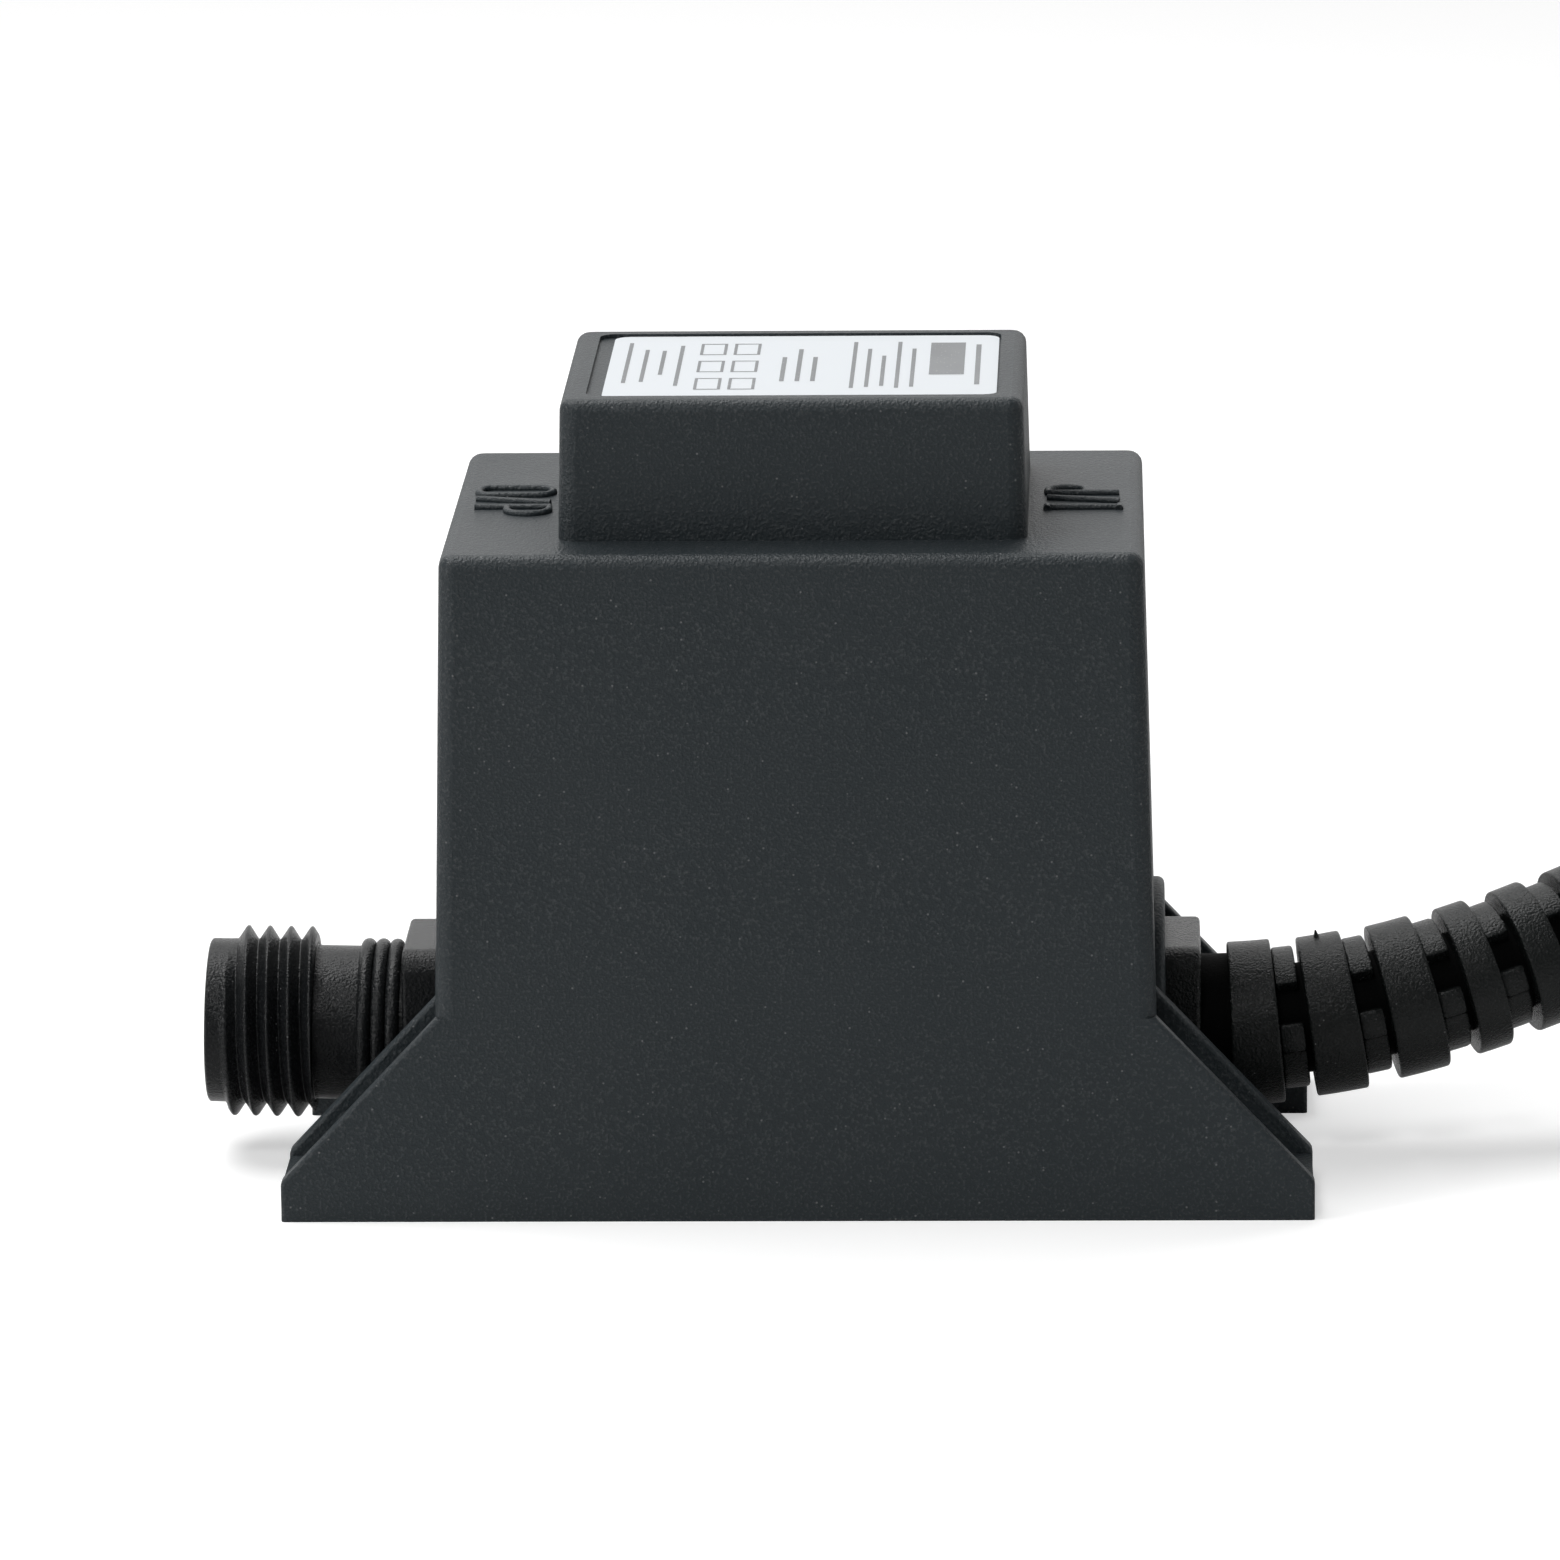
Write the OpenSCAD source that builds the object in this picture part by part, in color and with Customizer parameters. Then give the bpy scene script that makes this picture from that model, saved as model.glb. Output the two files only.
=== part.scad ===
// Potted low voltage garden transformer: a drafted box housing on four gusseted
// mounting ears, a threaded output socket on the left, and a mains lead that leaves
// through a segmented bend relief on the right. X runs along the base, Y from front to
// rear and Z up. The origin is the centre of the housing's base.

/* [Housing] */
// Length of the base over the mounting ears
base_l = 100; // [96:1:106]
// Width of the body at the base
body_w = 70.5; // [68:0.1:74]
// Depth of the body at the base, which is also the depth over the ears
body_d = 52; // [49:0.2:56]
// Height of the body up to the shoulder
body_h = 65.6; // [62:0.1:76]
// Width of the raised head, where it stands on the shoulder
head_w = 45.1; // [43:0.1:50]
// Depth of the raised head, where it stands on the shoulder
head_d = 36.2; // [34:0.1:40]
// Height of the raised head above the shoulder
head_h = 13.7; // [12:0.1:18]
// Draft of the side walls in degrees
side_draft = 1.4; // [0.5:0.1:2]
// Draft of the front and rear walls in degrees
face_draft = 0.75; // [0.2:0.05:1]
// Thickness of the walls
wall = 2.4; // [2:0.1:3]
// Radius of the upright corners
corner_r = 1.6; // [1:0.1:2]
// Radius along the top edges
edge_r = 1.2; // [0.6:0.1:1.6]

/* [Mounting ears] */
// Thickness of the gusset plates
gusset_t = 2; // [1.6:0.1:2.6]
// Height at which the gussets meet the side wall
gusset_h = 20.1; // [17:0.1:24]
// Height of the upright outer end of the gussets
ear_end_h = 4.1; // [3.6:0.1:5]
// Distance from the front wall to the front of the inner gusset
ear_d = 11.3; // [10:0.1:12]
// Thickness of the flange between two gussets
flange_t = 3.5; // [3:0.1:3.6]
// Diameter of the screw holes in the flanges
screw_hole_d = 4.2; // [3.5:0.1:5]
// Distance between the two screw rows along the base
screw_row_x = 86; // [85:0.5:88]
// Radius of the outer top corner of the gussets
ear_corner_r = 1; // [0.5:0.1:1.5]

/* [Outlets] */
// Height of the socket and the lead above the base
axis_z = 13.1; // [12.6:0.1:16]
// Width of the arched pads on the side walls
pad_w = 24.4; // [22:0.1:24.4]
// Height of the centre of the pads' arches
pad_arch_z = 15.2; // [14:0.1:17]
// Distance by which the pad faces stand out over the foot of the side walls
pad_out = 0.45; // [0.4:0.05:1.4]
// Width of the collar that seats on a pad
collar_w = 16.4; // [16:0.1:18]
// Height of that collar
collar_h = 18; // [16:0.1:19]
// Thickness of the collar
collar_t = 3.5; // [3:0.1:4]
// Corner radius of the collar
collar_r = 2.4; // [1:0.1:3]
// Diameter of the barrel that passes through the side wall
barrel_d = 13.8; // [13:0.1:14]
// Length of the barrel behind the side wall
barrel_in = 5; // [4:0.5:6]
// Clearance of a barrel in its hole, on the radius
barrel_gap = 0.1; // [0.05:0.01:0.2]

/* [Output socket] */
// Outside diameter of the three seal ribs
rib_d = 16.8; // [16:0.1:17]
// Pitch of the seal ribs
rib_pitch = 1.4; // [1.4:0.05:1.6]
// Diameter of the plain neck
neck_d = 15.2; // [15:0.1:15.6]
// Length from the last rib to the thread
neck_l = 4.3; // [3:0.1:6]
// Diameter over the crests of the thread
thread_d = 18.9; // [18.4:0.1:20]
// Diameter at the roots of the thread
root_d = 16.3; // [16:0.1:17]
// Pitch of the thread
thread_pitch = 2.1; // [1.9:0.05:2.4]
// Number of crests
thread_crests = 4; // [3:1:5]
// Length of the plain end beyond the thread
nose_l = 2.6; // [2:0.1:4]
// Diameter of the plain end
nose_d = 15.9; // [15.6:0.1:16]
// Diameter of the socket's bore
socket_bore_d = 12; // [11:0.1:12.4]
// Depth of the socket's bore
socket_bore_l = 12; // [10:0.5:13]
// Distance between the two contacts
contact_pitch = 6; // [5:0.1:6.4]
// Outside diameter of a contact
contact_d = 3; // [2.6:0.1:3.4]
// Diameter of the hole in a contact
contact_bore_d = 2.1; // [1.6:0.1:2.2]

/* [Bend relief] */
// Diameter of the smooth neck behind the first ring
relief_neck_d = 14; // [13:0.1:14.4]
// Length of the smooth neck
relief_neck_l = 2.9; // [2:0.1:4]
// Diameter of the first ring
relief_d = 15.8; // [15:0.1:16]
// Loss of diameter from one ring to the next
relief_taper = 0.4; // [0.3:0.05:0.5]
// Width of the first three rings
ring_w = 4.7; // [4:0.1:5]
// Width of the other rings
thin_ring_w = 3.2; // [2.6:0.1:3.6]
// Gap between two rings
ring_gap = 2.9; // [2.6:0.1:3.6]
// Depth of the gap below the ring before it
ring_step = 0.95; // [0.8:0.05:1.1]
// Depth of the pockets between the bars in a gap
pocket_depth = 1.3; // [0.8:0.1:1.4]
// Width of the slot between the bars and the ring after them
bar_slot = 0.7; // [0.4:0.1:1]
// Radius of the relief's bend
bend_r = 76; // [70:1:90]

/* [Core and windings] */
// Gap between the core and the front and rear walls
core_room = 3.6; // [3:0.1:5]
// Height of the stack of laminations
stack_h = 25; // [20:0.5:26]
// Gap between the stack and the housing's shoulder
stack_gap = 2.6; // [1:0.1:4]
// Wall of the bobbin
bobbin_t = 1; // [0.8:0.1:1.2]

/* [Mains lead] */
// Diameter of the mains lead
lead_d = 7; // [6.5:0.1:7]
// Radius from the coil's centre to its outermost turn
coil_r = 45; // [45:0.5:48]
// Distance between two turns side by side
turn_pitch = 7.5; // [7.4:0.1:7.6]
// Distance between two layers of turns
layer_pitch = 7.45; // [7.4:0.05:7.6]

/* [Plug] */
// Width of the plug's body
plug_w = 35.3; // [34:0.1:36]
// Thickness of the plug's body
plug_t = 13.7; // [13:0.1:14]
// Length of the plug's body
plug_l = 36; // [34:0.5:38]
// Diameter of the plug's pins
pin_d = 4; // [4:0.1:4.8]
// Length of the plug's pins
pin_l = 19; // [18:0.5:20]
// Distance between the two pins
pin_pitch = 18.6; // [17.5:0.1:19]

/* [Hidden] */
$fn = 48;
// Number of sides on the hulled corners
corner_fn = 32;
// Steps along a drawn edge radius
edge_steps = 6;
// Overrun of every cut
over = 1;
// Working clearance of pieces that seat in one another
seat_gap = 0.05;

// Label recess in the top of the head
recess_depth = 0.4;
recess_margin = 2.4;
recess_corner_r = 1.5;
label_t = 0.15;
label_gap = 0.2;
label_strip = 1.5;
top_z = body_h + head_h;
recess_z = top_z - recess_depth;

// Widths that the draft leaves at a height
function side_inset(z) = z * tan(side_draft);
function face_inset(z) = z * tan(face_draft);
head_top_w = head_w - 2 * side_inset(head_h);
head_top_d = head_d - 2 * face_inset(head_h);
recess_w = head_top_w - 2 * recess_margin;
recess_d = head_top_d - 2 * recess_margin;
wall_in_x = body_w / 2 - side_inset(axis_z) - wall;
pad_x = body_w / 2 + pad_out;

// Distance between the two screws of a row
screw_row_y = body_d - ear_d - gusset_t;

// Output socket, along the axis from the pad's face outwards
rib_r = 0.75;
rib_count = 3;
rib_room = 0.4;
rib_first = collar_t + rib_room + rib_r;
neck_start = rib_first + (rib_count - 1) * rib_pitch;
thread_start = neck_start + rib_r + neck_l;
thread_l = thread_crests * thread_pitch;
crest_w_share = 0.08;
flank_w_share = 0.44;
socket_l = thread_start + thread_l + nose_l;
nose_chamfer = 0.6;
insert_d = 11;
insert_lip = 1.5;
contact_bore_l = 9;
contact_tail = 2;

// Rings that hold the barrels from inside
ring_t = 1.5;
retaining_d = 18;

// Bend relief along its bent middle line, from the collar's face
thick_rings = 3;
relief_rings = 8;
wide_bar_deg = 49;
narrow_bar_deg = 13;
core_lap = 0.8;
function ring_width(i) = i < thick_rings ? ring_w : thin_ring_w;
function ring_start(i) = i == 0 ? relief_neck_l : ring_start(i - 1) + ring_width(i - 1) + ring_gap;
function ring_d(i) = relief_d - i * relief_taper;
function gap_d(i) = ring_d(i) - 2 * ring_step;
relief_l = ring_start(relief_rings - 1) + thin_ring_w;

// The middle line is a chain of equal arcs. The plane of the first stands nearly upright,
// and each arc's plane leans further to the rear, so that the relief rises, swings to the
// rear and comes level. A frame holds a point, the way ahead, the way up and the way back.
bend_arcs = 5;
first_lean = 17;
lean_step = 23.5;
arc_l = relief_l / bend_arcs;
function arc_turn(l) = l / bend_r * 180 / PI;
function arc_lean(k) = first_lean + k * lean_step;
function arc_in(f, lean) = cos(lean) * f[2] + sin(lean) * f[3];
function arc_across(f, lean) = cos(lean) * f[3] - sin(lean) * f[2];
function arc_end(f, lean, a) = let (
        w = arc_in(f, lean),
        b = arc_across(f, lean),
        v = cos(a) * w - sin(a) * f[1]
    ) [
        f[0] + bend_r * (sin(a) * f[1] + (1 - cos(a)) * w),
        cos(a) * f[1] + sin(a) * w,
        cos(lean) * v - sin(lean) * b,
        sin(lean) * v + cos(lean) * b
    ];
bend_start_x = pad_x + collar_t;
function bend_frame(k) = k == 0
    ? [[bend_start_x, 0, axis_z], [1, 0, 0], [0, 0, 1], [0, 1, 0]]
    : arc_end(bend_frame(k - 1), arc_lean(k - 1), arc_turn(arc_l));
function frame_at(s) = let (k = max(0, min(floor(s / arc_l), bend_arcs - 1)), f = bend_frame(k))
    s < 0 ? [f[0] + s * f[1], f[1], f[2], f[3]]
    : arc_end(f, arc_lean(k), arc_turn(s - k * arc_l));
mouth_frame = frame_at(relief_l);
arc_steps = 3;

// Core of E and I laminations, which lie flat
core_d = body_d - 2 * wall - 2 * core_room;
limb_w = 2 / 5 * core_d;
core_w = 3 * limb_w;
back_t = limb_w / 2;
window_w = limb_w / 2;
window_l = 3 / 2 * limb_w;
core_top = body_h - wall - stack_gap;
core_bottom = core_top - stack_h;
core_mid = (core_top + core_bottom) / 2;
core_gap = 0.05;

// Bobbin, windings and terminals
tube_gap = 0.2;
flange_gap = 0.3;
tube_in_w = limb_w + 2 * tube_gap;
tube_in_h = stack_h + 2 * tube_gap;
tube_out_w = tube_in_w + 2 * bobbin_t;
tube_out_h = tube_in_h + 2 * bobbin_t;
bobbin_l = window_l - 2 * flange_gap;
bobbin_w = limb_w + 2 * (window_w - flange_gap);
bobbin_h = stack_h + 2 * (window_w + flange_gap);
winding_gap = 0.1;
tape_t = 0.3;
winding_t = window_w - tube_gap - bobbin_t - flange_gap - 2 * tape_t;
winding_l = (bobbin_l - 3 * bobbin_t) / 2 - 2 * winding_gap;
winding_w = tube_out_w + 2 * winding_t;
winding_h = tube_out_h + 2 * winding_t;
winding_r = 2.5;
tape_l_share = 0.9;
block_l = 6;
block_h = 5;
block_w = 2 * limb_w;
block_z = core_mid - bobbin_h / 2;
terminal_x = 5 / 8 * limb_w;
terminal_y = bobbin_l / 2 + block_l / 2;
terminal_d = 1;
terminal_drop = 6;
terminal_z = block_z - terminal_drop;

// Wires inside the housing
sheath_end_x = wall_in_x - barrel_in - 4 * over;
conductor_d = 2.3;
conductor_y = 1.4;
live_turn_x = sheath_end_x - 3 * conductor_d;
neutral_turn_x = sheath_end_x - 2 * conductor_d;
neutral_run_z = terminal_z - 3 / 2 * conductor_d;
live_run_z = neutral_run_z - 3 * conductor_d;
sleeve_l = 5;
sleeve_d = 3;
sleeve_x = live_turn_x - conductor_d - sleeve_l / 2;
fuse_d = 4;
fuse_l = 9;
fuse_wire_d = 0.9;
fuse_gap = 2;
fuse_x = sleeve_x - sleeve_l / 2 - fuse_gap - fuse_l / 2;
output_wire_d = 2;
contact_in_x = pad_x + socket_l - socket_bore_l;
contact_l = contact_in_x - (wall_in_x - barrel_in) + contact_tail;
contact_tail_x = contact_in_x - contact_l;
near_turn_x = contact_tail_x - 3 * output_wire_d;
far_turn_x = contact_tail_x - 6 * output_wire_d;
cross_z = terminal_z - 2 * output_wire_d;
cross_y = terminal_y - 3 * output_wire_d;

// Potting compound, which stops short of the base
potting_z = 1.5;

// Mains lead that lies free: round numbers along its middle line
tie_t = 0.7;
lead_z = lead_d / 2 + tie_t + seat_gap;
lead_sides = 8;
coil_sides = 6;
coil_x = 190;
coil_y = 32;
lead_route = [
    [101, 18, 27], [108, 20.3, 26.8], [115, 21, 25.4], [121.5, 20.2, 22.8],
    [127.5, 17.8, 19.4], [133.5, 14, 15.6], [139.5, 9.2, 12], [146, 3.7, 8.9],
    [153, -1.9, 6.6], [160, -6.8, 5.2], [167, -10.4, 4.5], [174, -12.5, 4.3]
];
// The lead's end rises off the top layer and turns in over the coil
end_route = [
    [209, -9, 28], [219, -2.5, 30], [227, 6.5, 32], [232.5, 16, 34], [235, 27, 36],
    [234.5, 38, 37], [230, 48, 37.5], [222.5, 55.5, 37.5], [213, 59.5, 37.5]
];
loop_count = 7;
loop_rings = 24;
turns_per_layer = 7 / 4;
climb_share = 1 / 2;
coil_start_deg = -90;
layers = 4;

// Tie round the coil
tie_l_deg = 18;
tie_deg = 171;
tie_gap = 0.3;

// Plug that lies on the coil
coil_top_z = lead_z + (layers - 1) * layer_pitch + lead_d / 2;
plug_lift = 0.15;
plug_z = coil_top_z + plug_lift + plug_t / 2;
plug_y = 60;
relief_tip_x = 200;
plug_relief_l = 20;
plug_relief_end_d = 9;
plug_relief_root_d = 12;
plug_back_x = relief_tip_x - plug_relief_l;
plug_face_x = plug_back_x - plug_l;
plug_edge_r = 3;
plug_back_w_share = 0.62;
plug_mid_share = 0.45;
pin_in = 10;
sleeve_on_pin_l = 10;
sleeve_step = 0.2;
pin_root_d = pin_d - 2 * sleeve_step;

// Points along an arc round [x, y]
function arc(x, y, r, from, to, n) = [
    for (i = [0:n]) let (a = from + (to - from) * i / n) [x + r * cos(a), y + r * sin(a)]
];

// Upright trapezoid with rounded top corners, w wide at the bottom
function drafted_profile(w, h, inset, r) = concat(
    [[-w / 2, 0], [w / 2, 0]],
    arc(w / 2 - inset - r, h - r, r, 0, 90, edge_steps),
    arc(-w / 2 + inset + r, h - r, r, 90, 180, edge_steps)
);

// Box with drafted walls and rounded upright corners, w by d at the bottom
module drafted_posts(w, d, h, r) {
    dx = side_inset(h);
    dy = face_inset(h);
    hull() {
        for (sx = [-1, 1], sy = [-1, 1]) {
            translate([sx * (w / 2 - r), sy * (d / 2 - r), 0])
                cylinder(r = r, h = edge_r / 2, $fn = corner_fn);
            translate([sx * (w / 2 - r - dx), sy * (d / 2 - r - dy), h - edge_r / 2])
                cylinder(r = r, h = edge_r / 2, $fn = corner_fn);
        }
    }
}

// The same box with its top edges rounded
module drafted_box(w, d, h, r) {
    intersection() {
        drafted_posts(w, d, h, r);
        rotate([90, 0, 0])
            linear_extrude(d + 2 * over, center = true)
                polygon(drafted_profile(w, h, side_inset(h), edge_r));
        rotate([90, 0, 90])
            linear_extrude(w + 2 * over, center = true)
                polygon(drafted_profile(d, h, face_inset(h), edge_r));
    }
}

// Flat rectangle with round corners
module rounded_rect(w, h, r) {
    square([w - 2 * r, h], center = true);
    square([w, h - 2 * r], center = true);
    for (sx = [-1, 1], sy = [-1, 1]) {
        translate([sx * (w / 2 - r), sy * (h / 2 - r)]) circle(r);
    }
}

// Cylinder along X from x, on the outlets' axis
module x_rod(x, l, r) {
    translate([x, 0, axis_z]) rotate([0, 90, 0]) cylinder(r = r, h = l);
}

// Barrel that passes through the side wall, from inside the housing into the collar
module outlet_barrel() {
    x_rod(wall_in_x - barrel_in, pad_x + collar_t / 2 - wall_in_x + barrel_in, barrel_d / 2);
}

// Collar with rounded corners on the face of a pad
module outlet_collar() {
    translate([pad_x, 0, axis_z])
        rotate([90, 0, 90])
            linear_extrude(collar_t) rounded_rect(collar_w, collar_h, collar_r);
}

// Shapes drawn for the right side, set on the left side
module on_left() {
    mirror([1, 0, 0]) children();
}

// Round wire through points that change one coordinate at a time
module wire(points, d) {
    for (i = [0:len(points) - 2]) {
        a = points[i];
        b = points[i + 1];
        v = b - a;
        l = norm(v);
        first = i == 0 ? 0 : d / 2;
        last = i == len(points) - 2 ? 0 : d / 2;
        translate(a)
            rotate([0, acos(v[2] / l), atan2(v[1], v[0])])
                translate([0, 0, -first])
                    cylinder(d = d, h = l + first + last, $fn = 24);
    }
}

// Outline of a gusset, from the side wall out to the end of the ear
module gusset_outline() {
    x_in = body_w / 2 - side_inset(gusset_h) - wall / 2;
    x_top = body_w / 2 - side_inset(gusset_h);
    x_out = base_l / 2;
    r = ear_corner_r;
    slope = atan2(gusset_h - ear_end_h, x_out - x_top);
    turn = r * tan((90 - slope) / 2);
    polygon(concat(
        [[x_in, 0], [x_out, 0]],
        arc(x_out - r, ear_end_h - turn, r, 0, 90 - slope, edge_steps),
        [[x_top, gusset_h], [x_in, gusset_h]]
    ));
}

// One mounting ear: two gussets, the flange between them and its screw hole
module ear() {
    for (y = [body_d / 2 - ear_d, body_d / 2]) {
        translate([0, y, 0])
            rotate([90, 0, 0])
                linear_extrude(gusset_t) gusset_outline();
    }
    difference() {
        translate([body_w / 2 - wall, body_d / 2 - ear_d - gusset_t / 2, 0])
            cube([base_l / 2 - body_w / 2 + wall, ear_d, flange_t]);
        translate([screw_row_x / 2, screw_row_y / 2, -over])
            cylinder(d = screw_hole_d, h = flange_t + 2 * over);
    }
}

// Arch-topped pad that gives an outlet an upright seat on the drafted wall
module outlet_pad() {
    x_in = body_w / 2 - side_inset(pad_arch_z + pad_w / 2) - wall / 2;
    translate([x_in, 0, 0])
        rotate([90, 0, 90])
            linear_extrude(pad_x - x_in)
                union() {
                    translate([-pad_w / 2, 0]) square([pad_w, pad_arch_z]);
                    translate([0, pad_arch_z]) circle(d = pad_w);
                }
}

module cavity() {
    translate([0, 0, -over])
        drafted_posts(
            body_w - 2 * wall + 2 * side_inset(over),
            body_d - 2 * wall + 2 * face_inset(over),
            body_h - wall + over,
            corner_r
        );
    translate([0, 0, body_h - wall - over])
        drafted_posts(
            head_w - 2 * wall,
            head_d - 2 * wall,
            head_h - recess_depth + over,
            corner_r
        );
}

module housing() color([0.19, 0.21, 0.22]) {
    difference() {
        union() {
            drafted_box(body_w, body_d, body_h, corner_r);
            translate([0, 0, body_h - wall])
                drafted_box(
                    head_w + 2 * side_inset(wall),
                    head_d + 2 * face_inset(wall),
                    head_h + wall,
                    corner_r
                );
            for (sx = [0, 1], sy = [0, 1]) mirror([sx, 0, 0]) mirror([0, sy, 0]) ear();
            outlet_pad();
            on_left() outlet_pad();
        }
        cavity();
        x_rod(wall_in_x - over, wall + pad_x - wall_in_x, barrel_d / 2 + barrel_gap);
        on_left()
            x_rod(wall_in_x - over, wall + pad_x - wall_in_x, barrel_d / 2 + barrel_gap);
        translate([0, 0, recess_z])
            linear_extrude(recess_depth + over)
                rounded_rect(recess_w, recess_d, recess_corner_r);
    }
}

module rating_label() color([0.9, 0.9, 0.91]) {
    w = recess_w - label_strip - label_gap;
    translate([(label_strip - label_gap) / 2, 0, recess_z])
        linear_extrude(label_t)
            rounded_rect(w, recess_d - 2 * label_gap, recess_corner_r);
}

// One crest of the thread as a ring
module crest_ring() {
    flank = flank_w_share * thread_pitch;
    top = crest_w_share * thread_pitch;
    rotate_extrude()
        polygon([
            [root_d / 2 - seat_gap, -flank - top / 2],
            [root_d / 2, -flank - top / 2],
            [thread_d / 2, -top / 2],
            [thread_d / 2, top / 2],
            [root_d / 2, flank + top / 2],
            [root_d / 2 - seat_gap, flank + top / 2]
        ]);
}

module output_socket() color([0.1, 0.11, 0.11]) on_left() {
    difference() {
        union() {
            outlet_barrel();
            outlet_collar();
            x_rod(pad_x + collar_t / 2, thread_start + thread_l - collar_t / 2, neck_d / 2);
            x_rod(pad_x + thread_start, thread_l + nose_l / 2, root_d / 2);
            for (i = [0:rib_count - 1]) {
                translate([pad_x + rib_first + i * rib_pitch, 0, axis_z])
                    rotate([0, 90, 0])
                        rotate_extrude()
                            translate([rib_d / 2 - rib_r, 0]) circle(rib_r, $fn = 20);
            }
            for (i = [0:thread_crests - 1]) {
                translate([pad_x + thread_start + (i + 1 / 2) * thread_pitch, 0, axis_z])
                    rotate([0, 90, 0]) crest_ring();
            }
            x_rod(pad_x + socket_l - nose_l, nose_l - nose_chamfer, nose_d / 2);
            translate([pad_x + socket_l - nose_chamfer, 0, axis_z])
                rotate([0, 90, 0])
                    cylinder(r1 = nose_d / 2, r2 = nose_d / 2 - nose_chamfer, h = nose_chamfer);
        }
        x_rod(contact_in_x, socket_bore_l + over, socket_bore_d / 2);
        x_rod(wall_in_x - barrel_in - over, socket_l + over, insert_d / 2);
    }
}

module socket_insert() color([0.16, 0.17, 0.18]) on_left() {
    x_in = wall_in_x - barrel_in + insert_lip;
    difference() {
        x_rod(x_in, contact_in_x - x_in, insert_d / 2 - seat_gap);
        for (sy = [-1, 1]) {
            translate([0, sy * contact_pitch / 2, 0])
                x_rod(x_in - over, contact_in_x - x_in + 2 * over, contact_d / 2 + seat_gap);
        }
    }
}

module output_contacts() color([0.8, 0.66, 0.36]) on_left() {
    for (sy = [-1, 1]) {
        translate([0, sy * contact_pitch / 2, 0])
            difference() {
                x_rod(contact_tail_x, contact_l, contact_d / 2);
                x_rod(contact_in_x - contact_bore_l, contact_bore_l + over, contact_bore_d / 2);
            }
    }
}

// Sets a shape drawn along +Z on the bend, s along its middle line, with its +Y up
module on_bend(s) {
    f = frame_at(s);
    multmatrix([for (i = [0:2]) [f[3][i], f[2][i], f[1][i], f[0][i]]]) children();
}

// Inner stretch of the mains lead: straight through the wall, then along the bend, and
// straight on past the mouth
module lead_core(d, past = 0) {
    n = bend_arcs * arc_steps;
    frames = [for (i = [0:n]) frame_at(relief_l * i / n)];
    beyond = past > 0 ? [mouth_frame[0] + past * mouth_frame[1]] : [];
    swept_tube(concat([[sheath_end_x, 0, axis_z]], [for (f = frames) f[0]], beyond), d, lead_sides,
        [1, 0, 0], mouth_frame[1]);
}

// Room between the four bars of one gap, down into the core
module gap_pockets(d, l) {
    for (side = [90, 270], pair = [0, 1]) {
        from = pair == 0 ? wide_bar_deg : 90 + narrow_bar_deg;
        rotate([0, 0, side + from])
            rotate_extrude(angle = 90 - wide_bar_deg - narrow_bar_deg)
                translate([d / 2 - pocket_depth - core_lap, -l / 2])
                    square([pocket_depth + core_lap + over, l]);
    }
}

// The four bars of one gap, which stop short of the ring after them
module gap_bars(d) {
    difference() {
        translate([0, 0, -ring_gap / 2 - core_lap])
            cylinder(d = d, h = ring_gap + core_lap - bar_slot);
        gap_pockets(d, ring_gap + 2 * core_lap + 2 * over);
    }
}

module strain_relief_boot() color([0.1, 0.1, 0.11]) {
    difference() {
        union() {
            outlet_barrel();
            outlet_collar();
            on_bend(-core_lap) cylinder(d = relief_neck_d, h = relief_neck_l + 2 * core_lap);
            for (i = [0:relief_rings - 1]) {
                on_bend(ring_start(i) + ring_width(i) / 2)
                    cylinder(d = ring_d(i), h = ring_width(i), center = true);
            }
            for (i = [0:relief_rings - 2]) {
                on_bend(ring_start(i + 1) - ring_gap / 2) {
                    cylinder(d = gap_d(i) - 2 * pocket_depth, h = ring_gap + 2 * core_lap, center = true);
                    gap_bars(gap_d(i));
                }
            }
        }
        lead_core(lead_d + 2 * seat_gap, lead_d / 2);
    }
}

// Spring rings that grip the barrels against the inside of the wall
module retaining_rings() color([0.6, 0.62, 0.64]) {
    x = wall_in_x - side_inset(retaining_d / 2) - ring_t - seat_gap;
    for (m = [0, 1]) {
        mirror([m, 0, 0])
            difference() {
                x_rod(x, ring_t, retaining_d / 2);
                x_rod(x - over, ring_t + 2 * over, barrel_d / 2 + seat_gap);
            }
    }
}

module mains_lead_inner() color([0.08, 0.08, 0.09]) lead_core(lead_d);

module live_wire() color([0.36, 0.2, 0.12]) {
    wire([
        [sheath_end_x, conductor_y, axis_z],
        [live_turn_x, conductor_y, axis_z],
        [live_turn_x, conductor_y, live_run_z],
        [live_turn_x, -terminal_y, live_run_z],
        [sleeve_x + sleeve_l / 2, -terminal_y, live_run_z]
    ], conductor_d);
}

module neutral_wire() color([0.15, 0.3, 0.6]) {
    wire([
        [sheath_end_x, -conductor_y, axis_z],
        [neutral_turn_x, -conductor_y, axis_z],
        [neutral_turn_x, -conductor_y, neutral_run_z],
        [neutral_turn_x, -terminal_y, neutral_run_z],
        [terminal_x, -terminal_y, neutral_run_z],
        [terminal_x, -terminal_y, terminal_z]
    ], conductor_d);
}

module crimp_sleeve() color([0.75, 0.75, 0.76]) {
    translate([0, -terminal_y, live_run_z - axis_z])
        x_rod(sleeve_x - sleeve_l / 2, sleeve_l, sleeve_d / 2);
}

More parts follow.
